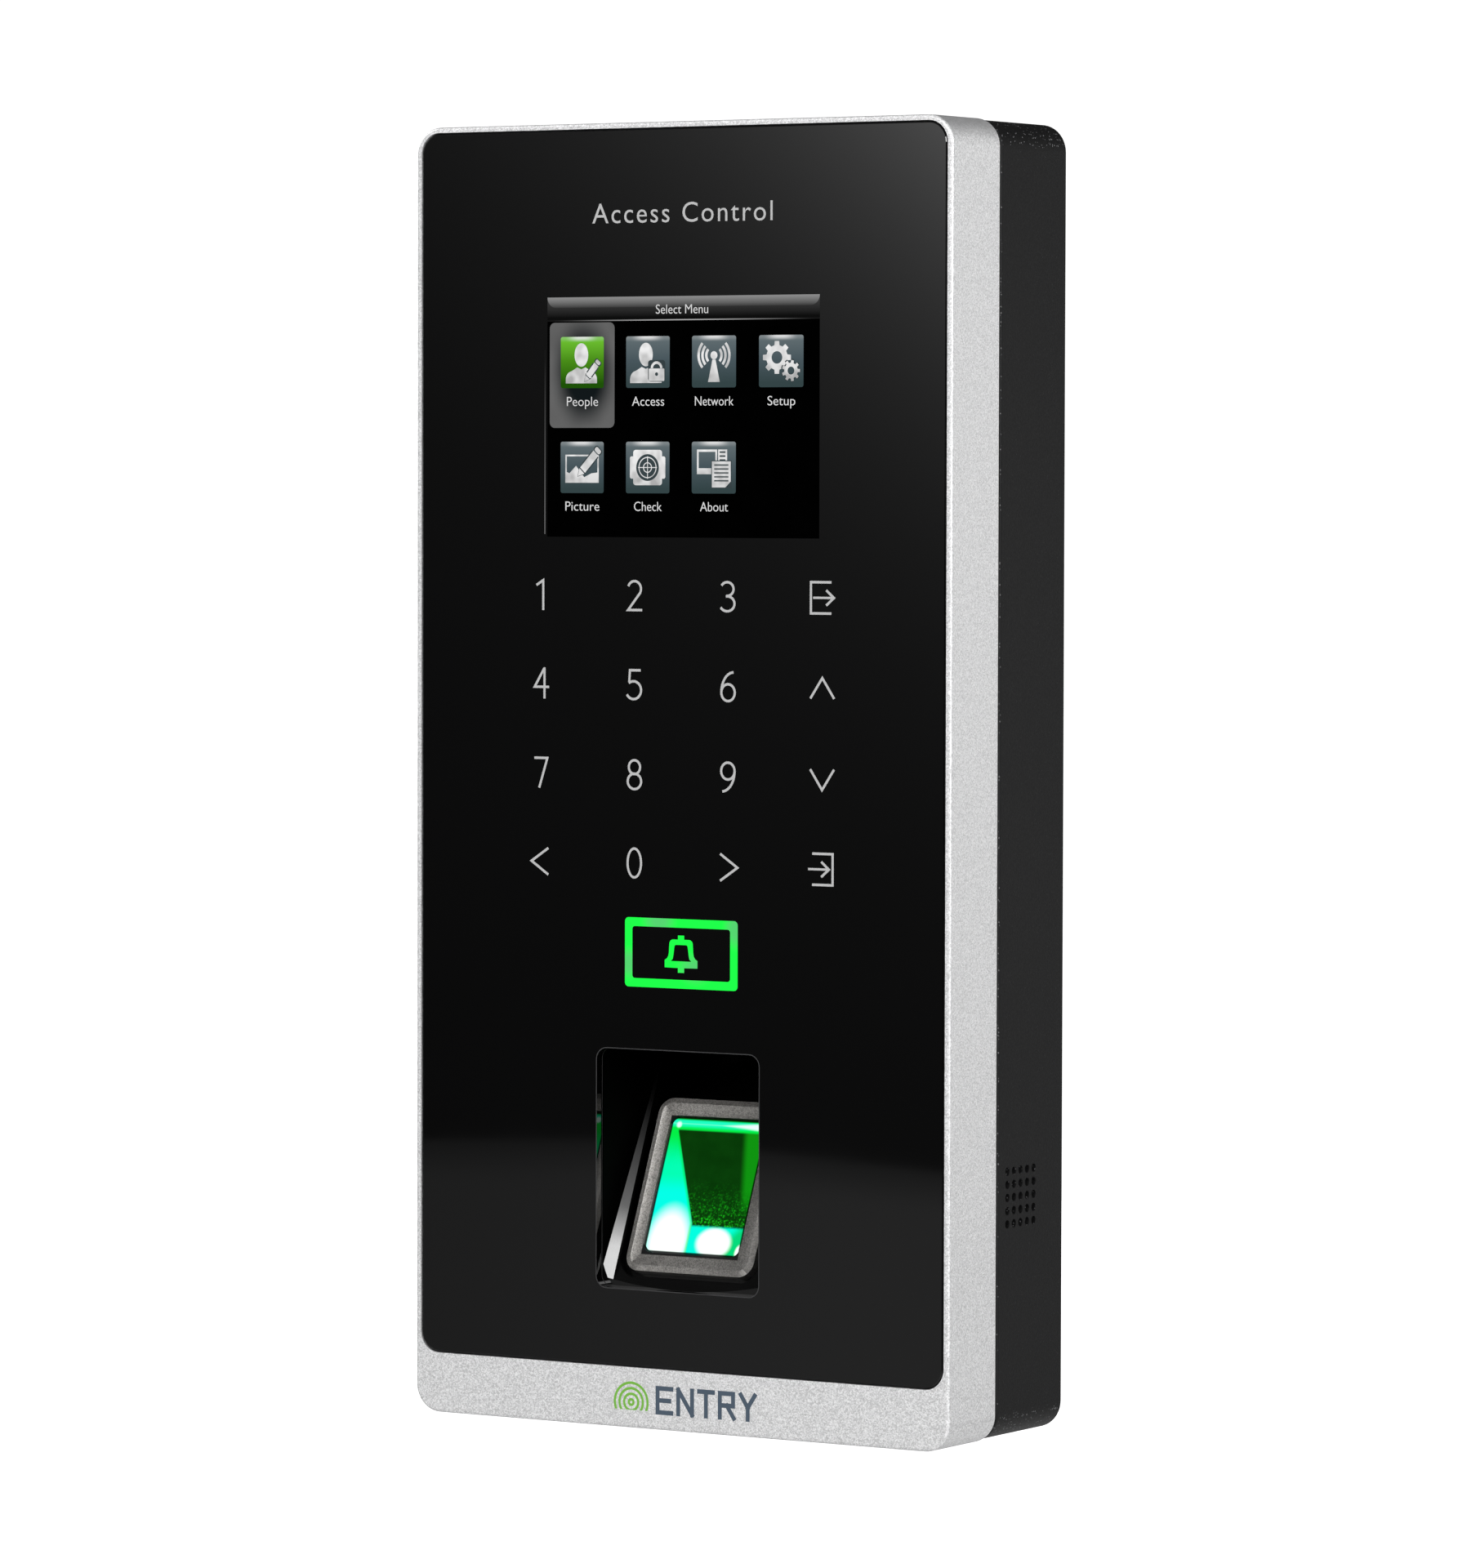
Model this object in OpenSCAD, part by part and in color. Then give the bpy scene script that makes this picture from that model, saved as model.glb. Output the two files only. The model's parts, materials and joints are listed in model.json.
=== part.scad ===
// Wall-mounted fingerprint and keypad access terminal.
// Every part is drawn lying on its back: X to the right, Y up the face, Z out of the wall.
// stand() then turns it upright, so that the wall is the plane Y = 0 and the glass faces -Y.

/* [Case] */
// Width of the terminal
unit_w = 96.4; // [96:0.1:104]
// Height of the terminal
unit_h = 200; // [200:0.5:206]
// Distance from the wall to the front
unit_d = 35; // [35:0.5:38]
// Radius of the case's four corners
corner_r = 4.3; // [4:0.1:5]
// Depth of the silver front frame
frame_d = 14.3; // [14:0.1:15]
// Wall thickness of both shells
wall_t = 2.2; // [2:0.1:2.6]
// Radius on the shells' outer edges
edge_r = 0.5; // [0.3:0.1:0.6]

/* [Glass] */
// Width of the glass
glass_w = 94.4; // [92:0.1:94.4]
// Height of the glass
glass_h = 189.6; // [185:0.1:190]
// Radius of the glass corners
glass_r = 3.2; // [2.8:0.1:3.6]
// Thickness of the glass
glass_t = 1.5; // [1.1:0.1:1.5]

/* [Scanner] */
// Width of the finger opening in the glass
opening_w = 29.3; // [28.5:0.1:30]
// Height of the finger opening in the glass
opening_h = 36.9; // [36:0.1:38]
// Lean of the finger seat from the upright
seat_lean = 23; // [20:1:25]
// Width of the prism's touch face
prism_w = 17; // [15:0.5:17]
// Length of the prism's touch face
prism_h = 21.7; // [19:0.1:21.7]
// Radius of the fingertip scoop above the seat
scoop_r = 8.3; // [7:0.1:8.5]

/* [Motion] */
// Angle that the terminal is shown tilted off its wall plate
tilt_now = 0; // [0:1:12]

/* [Hidden] */
$fn = 64;

eps = 0.02;             // overrun of a cut past a face
slack = 0.1;            // gap between neighbours that only lie side by side
screw_clear = 0.2;      // what a clearance hole adds to its screw's radius
wall_lap = 0.4;         // how far an inner wall runs into the wall that it meets

// Depths, measured out from the wall
glass_front = unit_d - 0.08;
glass_back = glass_front - glass_t;
web_front = glass_back - 0.12;
web_t = 2;
web_back = web_front - web_t;
seam_z = unit_d - frame_d;
seam_gap = 0.35;
boss_drop = 0.6;        // how far the screw bosses stay behind the seam
boss_z = seam_z + boss_drop;
housing_front = seam_z - seam_gap;
housing_rear = 0.3;
rear_wall_z = 4;        // back face of the housing's rear wall
rear_wall_t = 2;
rear_wall_top = rear_wall_z + rear_wall_t;
board_z = 16.2;         // back face of the main board
pcb_t = 1.6;
thin_pcb_t = 0.8;

// Outlines
housing_w = unit_w - 0.2;
housing_h = unit_h - 0.4;
inner_w = unit_w - 2 * wall_t;
inner_h = unit_h - 2 * wall_t;
glass_lift = 4.25;      // centre of the glass above the centre of the case
glass_gap = 0.1;
plate_w = 88;
plate_h = 188;
plate_t = 1.5;
plate_r = 4;

// Screen and keys
screen_x = 0.6;
screen_y = 55.1;
lcd_w = 60.4;
lcd_h = 43;
cell_w = 58.4;
cell_h = 41;
view_w = 48.96;
view_h = 36.72;
key_board_w = 66;
key_board_h = 65.4;
key_board_y = -1.2;
key_x = [-24.9, -7.9, 9, 25.6];
key_y = [27.8, 14.2, 0.4, -13.1];
bell_x = 0.6;
bell_y = -26.7;
bell_w = 20.3;
bell_h = 10.6;
antenna_w = 76;
antenna_h = 68;
antenna_y = -1;
antenna_band = 5.5;
antenna_z = 28.6;

// Finger seat: its own frame has X across, Y up the slope and Z out towards the finger
opening_y = -60.15;
opening_r = 1.8;
seat_y = -63.1;
seat_z = unit_d - 8.4;
seat_half_w = 13;
scoop_depth = 1.4;
seat_draft = 0.085;     // how far each side wall closes in, per millimetre of depth
lip_r = 76;
lip_drop = 16.9;
floor_t = 3.8;
well_w = 33.6;
well_h = 41.6;
well_flange_w = 41;
well_flange_h = 49.2;
well_flange_t = 1.4;
well_screw_x = 18.6;
well_screw_y = 22.6;
well_flange_z = web_back - well_flange_t - slack;
well_gap = 0.3;
bezel_w = 23;
bezel_h = 28.1;
bezel_r = 2.5;
bezel_proud = 0.4;
bezel_bevel = 0.9;
bezel_bevel_drop = 0.4;
groove_w = 1.1;
groove_depth = 1.6;
prism_r = 1.5;
prism_fit = 0.3;
chassis_w = 23.2;
chassis_wall = 1.6;
chassis_low = -14;
chassis_high = 13;
chassis_front = -3.9;
chassis_back = -14.4;
chassis_screw_x = 14.2;
lens_r = 2.35;
chassis_ear_z = -7.4;
light_board_y = -12.2;

// Fixings
frame_screw_x = 41.5;
frame_screw_y = 92.5;
frame_screw_r = 1.5;
frame_screw_l = 24;
tube_r = 3.5;
boss_r = 3;
insert_r = 2.1;
insert_h = 5;
standoff_x = 34;
standoff_low = -33.9;
standoff_high = 86;
standoff_r = 3.2;
standoff_bore_r = 1.1;
port_screw_x = [-33.5, -16];
port_screw_y = -73;
port_post_r = 2.4;
port_post_bore_r = 1;
wall_hole_x = 30;
wall_hole_y = 70;
wall_hole_r = 2.2;
box_slot_y = 36;
box_slot_w = 4.2;
box_slot_l = 9;

// Hanging hooks on the wall plate and their slots
hook_x = 25;
hook_w = 12;
hook_y = 90;
hook_lip_z = 8;
hook_lip_h = 5;
slot_clear = 1.2;
hook_slot_y = hook_y - 4.4;
hook_slot_h = 6.2;
lock_z = 8;
lock_r = 1.7;
lock_pilot_r = 1.25;
flange_w = 16;
flange_y = -94.6;
flange_reach = 12;
pivot_y = housing_h / 2;
pivot_z = housing_rear;

// Wiring bay
bay_w = 68;
bay_low = -30;
bay_high = 9;
bay_wall = 1.6;
bay_y = (bay_low + bay_high) / 2;
bay_h = bay_high - bay_low;
seal_lap = 3;
cable_w = bay_w - 6;
cable_h = bay_h - 4;

// Speaker, ports and switches
grille_y = -63;
grille_z = unit_d - 21.6;
grille_pitch = 2;
grille_hole_r = 0.65;
grille_count = 5;
port_x = -25;
port_z = 11.2;
usb_w = 14.4;
usb_h = 6.8;
usb_l = 14;
usb_mouth_y = -97.2;
port_board_z = port_z + usb_h / 2 + slack;
cover_w = 18;
cover_h = 9.4;
cover_t = 1.2;
cover_gap = 0.15;
cover_plug_w = 11.4;
cover_plug_h = 4;
cover_plug_l = 1.2;
cover_hinge_z = port_z - cover_h / 2 + cover_t / 2;
reset_x = -15.2;
reset_z = 12.4;
reset_travel = 0.4;
reset_hole_r = 0.9;
tamper_x = 28;
tamper_y = 60;
tamper_body = 6.4;
tamper_body_h = 4;
tamper_stem_r = 1.5;
tamper_collar_r = 2.5;
tamper_collar_z = 7.2;
tamper_tip_z = plate_t + 0.3;

// ---------- shared shapes ----------

// Turns a part drawn on its back upright
module stand() rotate([90, 0, 0]) children();

// Adds the tilt of the hanging terminal
module hung() {
    translate([0, pivot_y, pivot_z]) rotate([-tilt_now, 0, 0]) translate([0, -pivot_y, -pivot_z]) children();
}

// A rectangle with round corners
module round_rect(w, h, r) {
    square([w - 2 * r, h], center = true);
    square([w, h - 2 * r], center = true);
    for (x = [-1, 1], y = [-1, 1])
        translate([x * (w / 2 - r), y * (h / 2 - r)]) circle(r);
}

// A slot with round ends: l is its length from end to end
module slot(l, w) {
    square([l - w, w], center = true);
    for (side = [-1, 1]) translate([side * (l - w) / 2, 0]) circle(w / 2);
}

// A flat slab with round corners, standing on height z
module slab(w, h, r, z, t) translate([0, 0, z]) linear_extrude(t) round_rect(w, h, r);

// A flat box centred on X and Y, standing on height z
module pad(w, h, z, t) translate([-w / 2, -h / 2, z]) cube([w, h, t]);

// Sweeps a profile round a rounded rectangle: the profile's X runs outward from the corner centre
module rim(w, h, r) {
    for (side = [0:3]) {
        run = side % 2 == 0 ? h : w;
        across = side % 2 == 0 ? w : h;
        rotate(90 * side) translate([across / 2 - r, run / 2 - r, 0]) {
            rotate([90, 0, 0]) linear_extrude(run - 2 * r) children();
            rotate_extrude(angle = 90) children();
        }
    }
}

// Section of a shell wall with both outer edges rounded
module wall_section(x0, x1, z0, z1, r) {
    translate([x0, z0]) square([x1 - x0 - r, z1 - z0]);
    translate([x0, z0 + r]) square([x1 - x0, z1 - z0 - 2 * r]);
    for (z = [z0 + r, z1 - r])
        translate([x1 - r, z]) circle(r, $fn = 24);
}

// A tube standing on height z
module tube(r_out, r_in, z, h) translate([0, 0, z]) difference() {
    cylinder(r = r_out, h = h);
    translate([0, 0, -eps]) cylinder(r = r_in, h = h + 2 * eps);
}

// A pan-head screw pointing up: the head's underside is at height z
module screw(r, length, z) translate([0, 0, z]) {
    cylinder(r = r, h = length);
    difference() {
        translate([0, 0, -1.2 * r]) cylinder(r = 1.9 * r, h = 1.2 * r);
        for (turn = [0, 90])
            rotate(turn) translate([-1.2 * r, -0.2 * r, -1.2 * r - eps]) cube([2.4 * r, 0.4 * r, 0.6 * r]);
    }
}

// The same screw pointing down: the head's underside is at height z
module screw_down(r, length, z) translate([0, 0, z]) mirror([0, 0, 1]) screw(r, length, 0);

// Places its children at the four corners of a rectangle
module corners(x, y) for (sx = [-1, 1], sy = [-1, 1]) translate([sx * x, sy * y, 0]) children();

// Unit normal to the left of the step from a to b, and the mean of two of them
function step_normal(a, b) = [a[1] - b[1], b[0] - a[0]] / norm(b - a);
function path_normal(p, i) =
    let (n0 = step_normal(p[max(i - 1, 0)], p[max(i, 1)]),
         n1 = step_normal(p[min(i, len(p) - 2)], p[min(i + 1, len(p) - 1)]))
    (n0 + n1) / (1 + n0 * n1);

// A flat ribbon of width w that follows [y, z] points
module ribbon(path, x, w, t) {
    far = [for (i = [0:len(path) - 1]) path[i] + t * path_normal(path, i)];
    near = [for (i = [len(path) - 1:-1:0]) path[i]];
    translate([x - w / 2, 0, 0]) rotate([90, 0, 90]) linear_extrude(w) polygon(concat(far, near));
}

// Moves into the finger seat's frame
module on_seat() translate([0, seat_y, seat_z]) rotate([-seat_lean, 0, 0]) children();

// ---------- wall side ----------

module hook() {
    translate([-hook_w / 2, hook_y, 0]) cube([hook_w, plate_t, hook_lip_z + plate_t]);
    translate([-hook_w / 2, hook_y, hook_lip_z]) cube([hook_w, hook_lip_h, plate_t]);
}

module wall_plate() stand() color("silver") {
    difference() {
        slab(plate_w, plate_h, plate_r, 0, plate_t);
        corners(wall_hole_x, wall_hole_y) translate([0, 0, -eps])
            cylinder(r = wall_hole_r, h = plate_t + 2 * eps);
        for (side = [-1, 1]) translate([side * wall_hole_x, box_slot_y, -eps])
            linear_extrude(plate_t + 2 * eps) slot(box_slot_l, box_slot_w);
        translate([0, bay_y, 0]) slab(cable_w, cable_h, seal_lap, -eps, plate_t + 2 * eps);
    }
    for (side = [-1, 1]) translate([side * hook_x, 0, 0]) hook();
    difference() {
        translate([-flange_w / 2, flange_y, 0]) cube([flange_w, plate_t, flange_reach]);
        translate([0, flange_y - eps, lock_z]) rotate([-90, 0, 0])
            cylinder(r = lock_pilot_r, h = plate_t + 2 * eps);
    }
}

// ---------- rear shell ----------

module grille_holes() {
    middle = (grille_count - 1) / 2;
    for (i = [0:grille_count - 1], j = [0:grille_count - 1])
        translate([housing_w / 2 - wall_t - 1, grille_y + (i - middle) * grille_pitch,
                   grille_z + (j - middle) * grille_pitch])
            rotate([0, 90, 0]) cylinder(r = grille_hole_r, h = wall_t + 2, $fn = 24);
}

module screw_places() {
    corners(frame_screw_x, frame_screw_y) children();
    for (side = [-1, 1]) translate([side * frame_screw_x, 0, 0]) children();
}

module standoff_places() for (x = [-standoff_x, standoff_x], y = [standoff_low, standoff_high])
    translate([x, y, 0]) children();

module port_screw_places() for (x = port_screw_x) translate([x, port_screw_y, 0]) children();

module housing_walls() {
    groove_in = corner_r - wall_t + 0.5;
    difference() {
        rim(housing_w, housing_h, corner_r) difference() {
            wall_section(corner_r - wall_t, corner_r, housing_rear, housing_front, edge_r);
            translate([groove_in, housing_front - 1]) square([1, 1 + eps]);
        }
        grille_holes();
        lower_wall_cuts();
    }
}

// Cuts in the bottom wall: port recess and its mouth, reset pinhole, locking screw
module lower_wall_cuts() {
    bottom = -housing_h / 2;
    translate([port_x - cover_w / 2 - cover_gap, bottom - eps, port_z - cover_h / 2 - cover_gap])
        cube([cover_w + 2 * cover_gap, cover_t + cover_gap + eps, cover_h + 2 * cover_gap]);
    translate([port_x - usb_w / 2 - slack, bottom, port_z - usb_h / 2 - slack])
        cube([usb_w + 2 * slack, 2 * wall_t, usb_h + 2 * slack]);
    for (hole = [[reset_x, reset_z, reset_hole_r], [0, lock_z, lock_r]])
        translate([hole[0], bottom - eps, hole[1]]) rotate([-90, 0, 0])
            cylinder(r = hole[2], h = 2 * wall_t);
}

// The rear wall laps into the side walls, and has slots for the hooks and the plate's flange
module housing_floor() difference() {
    pad(housing_w - 2 * wall_t + wall_lap, housing_h - 2 * wall_t + wall_lap, rear_wall_z, rear_wall_t);
    screw_places() translate([0, 0, rear_wall_z - eps])
        cylinder(r = frame_screw_r + screw_clear, h = 2 * rear_wall_t);
    translate([0, bay_y, 0]) pad(bay_w, bay_h, rear_wall_z - eps, 2 * rear_wall_t);
    for (side = [-1, 1])
        translate([side * hook_x - hook_w / 2 - slot_clear, hook_slot_y, rear_wall_z - eps])
            cube([hook_w + 2 * slot_clear, hook_slot_h, rear_wall_t + 2 * eps]);
    translate([-flange_w / 2 - slot_clear, flange_y - slot_clear, rear_wall_z - eps])
        cube([flange_w + 2 * slot_clear, plate_t + 3 * slot_clear, rear_wall_t + 2 * eps]);
    translate([tamper_x, tamper_y, rear_wall_z - eps])
        cylinder(r = tamper_stem_r + slack, h = 2 * rear_wall_t);
}

module rear_housing() stand() hung() color("#1c1c1e") {
    housing_walls();
    housing_floor();
    screw_places()
        tube(tube_r, frame_screw_r + screw_clear, rear_wall_top - eps, housing_front - rear_wall_top);
    standoff_places() tube(standoff_r, standoff_bore_r, rear_wall_top - eps, board_z - rear_wall_top);
    port_screw_places()
        tube(port_post_r, port_post_bore_r, rear_wall_top - eps, port_board_z - rear_wall_top);
    translate([0, bay_y, 0]) difference() {
        pad(bay_w + 2 * bay_wall, bay_h + 2 * bay_wall, rear_wall_z, board_z - rear_wall_z - 2 * slack);
        pad(bay_w, bay_h, rear_wall_z - eps, board_z);
    }
}

module housing_seal() stand() hung() color("#111111")
    rim(housing_w, housing_h, corner_r)
        translate([corner_r - wall_t + 0.55, housing_front - 1]) square([0.9, 1 + seam_gap]);

module bay_seal() stand() hung() color("#222222") translate([0, bay_y, 0]) {
    back = plate_t + 0.15;
    difference() {
        slab(bay_w + 2 * seal_lap, bay_h + 2 * seal_lap, seal_lap, back, rear_wall_z - back);
        slab(bay_w + 1, bay_h + 1, 1, 0, rear_wall_z + 1);
    }
}

module housing_screws() stand() hung() color("gainsboro")
    screw_places() screw(frame_screw_r, frame_screw_l, rear_wall_z);

// ---------- front shell ----------

module web_windows() {
    around = 2 * well_gap;
    low = web_back - eps;
    translate([screen_x, screen_y, 0]) pad(lcd_w + around, lcd_h + around, low, 2 * web_t);
    translate([0, key_board_y, 0]) pad(key_board_w + around, key_board_h + around, low, 2 * web_t);
    translate([0, opening_y, 0]) pad(well_w + around, well_h + around, low, 2 * web_t);
}

module front_frame() stand() hung() color("#c8c8c8") {
    difference() {
        union() {
            rim(unit_w, unit_h, corner_r)
                wall_section(corner_r - wall_t, corner_r, seam_z, unit_d, edge_r);
            pad(inner_w + wall_lap, inner_h + wall_lap, web_back, unit_d - web_back);
            screw_places() translate([0, 0, boss_z]) cylinder(r = boss_r, h = web_back - boss_z + slack);
        }
        translate([0, glass_lift, 0]) slab(glass_w + 2 * glass_gap, glass_h + 2 * glass_gap,
            glass_r + glass_gap, web_front, unit_d);
        web_windows();
        screw_places() translate([0, 0, seam_z]) cylinder(r = insert_r, h = insert_h + boss_drop);
        screw_places() translate([0, 0, seam_z]) cylinder(r = frame_screw_r + slack, h = 2 * insert_h);
        corners(well_screw_x, well_screw_y) translate([0, opening_y, web_back - eps])
            cylinder(r = 0.8, h = 1.4);
    }
    // posts that carry the card reader's aerial
    post_z = antenna_z + thin_pcb_t;
    corners(antenna_w / 2 - 2.5, antenna_h / 2 - 6) translate([0, antenna_y, post_z])
        cylinder(r = 1.6, h = web_back - post_z + eps);
}

module frame_inserts() stand() hung() color("goldenrod")
    screw_places() tube(insert_r, frame_screw_r + 0.05, boss_z, insert_h);

module glass_tape() stand() hung() color("#181818") {
    t = glass_back - web_front;
    difference() {
        translate([0, glass_lift, 0]) slab(glass_w - 2, glass_h - 2, glass_r, web_front, t);
        translate([screen_x, screen_y, 0]) pad(lcd_w + 2, lcd_h + 1, web_front - eps, 1);
        translate([0, key_board_y, 0]) pad(key_board_w + 2, key_board_h + 1, web_front - eps, 1);
        translate([0, opening_y, 0]) pad(well_w + 2 * well_gap, well_h + 2 * well_gap, web_front - eps, 1);
    }
    translate([0, opening_y, 0]) difference() {
        slab(well_w, well_h, opening_r, web_front, t);
        slab(opening_w, opening_h, opening_r, 0, unit_d);
    }
}

module glass_panel() stand() hung() color("#08080a") {
    bevel = 0.3;
    difference() {
        translate([0, glass_lift, 0]) slab(glass_w, glass_h, glass_r, glass_back, glass_t);
        translate([0, glass_lift, 0]) rim(glass_w, glass_h, glass_r)
            polygon([[glass_r - bevel, glass_front], [glass_r, glass_front - bevel],
                     [glass_r + 1, glass_front - bevel], [glass_r + 1, glass_front + 1],
                     [glass_r - bevel, glass_front + 1]]);
        translate([0, opening_y, 0]) slab(opening_w, opening_h, opening_r, 0, unit_d + 1);
    }
}

// ---------- touch keys ----------

// The bell key's light guide passes through the film and the touch board
module bell_window(z) translate([bell_x, bell_y, 0]) pad(bell_w + 1.4, bell_h + 1.4, z, 3);

module key_diffuser() stand() hung() color("white") difference() {
    translate([0, key_board_y, 0]) pad(key_board_w - 2, key_board_h - 2, web_front - 0.2, 0.28);
    bell_window(web_front - 1);
}

module touch_board() stand() hung() color("darkgreen") difference() {
    translate([0, key_board_y, 0]) pad(key_board_w, key_board_h, web_front - 1.4, 1.2);
    bell_window(web_front - 2);
    for (x = key_x, y = key_y) translate([x, y, web_front - 2]) cylinder(r = 1, h = 3, $fn = 24);
}

module key_leds() stand() hung() color("ivory") {
    z = web_front - 2;
    h = 0.6;
    for (x = key_x, y = key_y) translate([x, y, 0]) pad(2.8, 1.4, z, h);
    for (side = [-1, 1]) translate([bell_x + side * (bell_w / 2 + 2.4), bell_y, 0]) pad(2, 1.2, z, h);
}

module touch_chip() stand() hung() color("#222222")
    translate([0, 21, 0]) pad(7, 7, web_front - 2.3, 0.9);

module bell_light_guide() stand() hung() color("palegreen")
    translate([bell_x, bell_y, 0]) {
        z = web_front - 2.4;
        t = 2.3;
        difference() {
            slab(bell_w, bell_h, 0.8, z, t);
            slab(bell_w - 3, bell_h - 3, 0.4, 0, unit_d);
        }
        slab(6, 6, 1, z, t);
        pad(bell_w - 2, 1, z, t / 3);
    }

module touch_ribbon() stand() hung() color("orange")
    ribbon([[22, 31.2], [22, 29], [20, 26.6], [14, 24.4], [10, 21.6], [6, 20.4]], -22, 8, 0.15);

// ---------- screen ----------

module lcd_gasket() stand() hung() color("#202020") translate([screen_x, screen_y, 0]) difference() {
    pad(cell_w, cell_h, web_front - 0.15, 0.25);
    pad(view_w + 1.6, view_h + 1.6, 0, unit_d);
}

module lcd_panel() stand() hung() color("#101418") translate([screen_x, screen_y, 0])
    pad(cell_w, cell_h, web_front - 1.6, 1.45);

module lcd_backlight() stand() hung() color("whitesmoke") translate([screen_x, screen_y, 0]) difference() {
    pad(lcd_w, lcd_h, web_front - 3.4, 3.2);
    pad(cell_w + 0.2, cell_h + 0.2, web_front - 1.6, 3);
}

module lcd_ribbon() stand() hung() color("darkorange")
    ribbon([[34.5, 29.7], [33.2, 27.4], [32.4, 24.6], [31.4, 22], [29, 20.6], [24, 20.4]], 4, 22, 0.15);

// ---------- card reader aerial ----------

module card_antenna() stand() hung() color("seagreen") difference() {
    translate([0, antenna_y, 0]) slab(antenna_w, antenna_h, 3, antenna_z, thin_pcb_t);
    translate([0, antenna_y, 0])
        slab(antenna_w - 2 * antenna_band, antenna_h - 2 * antenna_band, 2, 0, unit_d);
}

module antenna_lead() stand() hung() color("dimgray")
    ribbon([[-20, 28.4], [-20, 25], [-18, 22], [-14, 20.4]], 35.4, 3, 0.8);

// ---------- fingerprint scanner ----------

// The space over the seat, as it is seen through the glass
module well_space() {
    intersection() {
        translate([0, opening_y, 0]) slab(opening_w, opening_h + 8, opening_r, 0, unit_d + 1);
        translate([-unit_w, -unit_h / 2, 0])
            cube([2 * unit_w, unit_h / 2 + opening_y + opening_h / 2, unit_d + 1]);
        // the side walls close in towards the back
        rotate([90, 0, 0]) linear_extrude(unit_h) polygon([
            [-opening_w / 2, unit_d + 1], [opening_w / 2, unit_d + 1],
            [opening_w / 2 - seat_draft * (unit_d + 1), 0], [-opening_w / 2 + seat_draft * (unit_d + 1), 0]]);
        // the floor slopes and turns up into each side wall
        on_seat() rotate([-90, 0, 0]) linear_extrude(2 * opening_h, center = true) polygon([
            [-seat_half_w, 0], [seat_half_w, 0], [opening_w, seat_half_w - opening_w],
            [opening_w, -unit_d], [-opening_w, -unit_d], [-opening_w, seat_half_w - opening_w]]);
        // the lower end is a shallow arc
        on_seat() translate([0, lip_r - lip_drop, -unit_d]) cylinder(r = lip_r, h = 3 * unit_d, $fn = 240);
    }
    // fingertip scoop
    on_seat() intersection() {
        translate([0, bezel_h / 2 - 1, -scoop_depth]) cylinder(r = scoop_r, h = scoop_depth + eps);
        translate([-scoop_r, 0, -2]) cube([2 * scoop_r, scoop_r + bezel_h / 2, 3]);
    }
    // groove round the bezel, and the prism's hole
    on_seat() slab(bezel_w + 2 * groove_w, bezel_h + 2 * groove_w, bezel_r + groove_w,
        -groove_depth, groove_depth + eps);
    on_seat() slab(prism_w + 2 * prism_fit, prism_h + 2 * prism_fit, prism_r, -2 * floor_t, 2 * floor_t);
}

module scanner_well() stand() hung() color("#050505") difference() {
    union() {
        intersection() {
            translate([0, opening_y, 0]) pad(well_w, well_h, 0, web_front);
            on_seat() pad(2 * unit_w, 2 * unit_h, -floor_t, unit_d);
        }
        translate([0, opening_y, 0]) pad(well_flange_w, well_flange_h, well_flange_z, well_flange_t);
    }
    well_space();
    corners(well_screw_x, well_screw_y) translate([0, opening_y, 0]) cylinder(r = 1, h = unit_d);
    on_seat() for (side = [-1, 1]) translate([side * chassis_screw_x, 0, -floor_t - 0.4])
        cylinder(r = 0.9, h = 3);
}

module well_screws() stand() hung() color("silver")
    corners(well_screw_x, well_screw_y) translate([0, opening_y, 0]) screw(0.75, 2.6, well_flange_z);

module scanner_bezel() stand() hung() color("#8b8680") on_seat() {
    top = bezel_proud;
    low = -groove_depth + eps;
    edge = top - bezel_bevel_drop;
    difference() {
        slab(bezel_w, bezel_h, bezel_r, low, top - low);
        rim(bezel_w, bezel_h, bezel_r) polygon([[bezel_r - bezel_bevel, top], [bezel_r, edge],
            [bezel_r + 1, edge], [bezel_r + 1, top + 1], [bezel_r - bezel_bevel, top + 1]]);
        slab(prism_w + 2 * prism_fit, prism_h + 2 * prism_fit, prism_r + prism_fit, low - 1, 6);
    }
}

module scanner_prism() stand() hung() color("limegreen") on_seat() {
    half = prism_h / 2;
    intersection() {
        translate([-prism_w / 2, 0, 0]) rotate([90, 0, 90]) linear_extrude(prism_w)
            polygon([[-half, 0.1], [half, 0.1], [half, -2.4], [3, -9], [-6, -9], [-half, -5]]);
        slab(prism_w, prism_h, prism_r, -unit_d, 2 * unit_d);
    }
}

module scanner_chassis() stand() hung() color("#141414") on_seat() {
    depth = chassis_front - chassis_back;
    length = chassis_high - chassis_low;
    ear_w = 34;
    ear_t = 3.4;
    difference() {
        union() {
            translate([-chassis_w / 2, chassis_low, chassis_back]) cube([chassis_w, length, depth]);
            translate([-ear_w / 2, -3, chassis_ear_z]) cube([ear_w, 6, ear_t]);
        }
        translate([-chassis_w / 2 + chassis_wall, chassis_low + chassis_wall, chassis_back - 1])
            cube([chassis_w - 2 * chassis_wall, length - 2 * chassis_wall, depth + 6]);
        for (side = [-1, 1]) translate([side * chassis_screw_x, 0, chassis_ear_z - 1])
            cylinder(r = 1.1, h = ear_t + 2);
    }
}

module chassis_screws() stand() hung() color("silver") on_seat()
    for (side = [-1, 1]) translate([side * chassis_screw_x, 0, 0]) screw(0.85, 5.8, chassis_ear_z);

module prism_light_board() stand() hung() color("darkgreen") on_seat()
    translate([-8, light_board_y, -9.6]) cube([16, thin_pcb_t, 5.6]);

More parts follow.
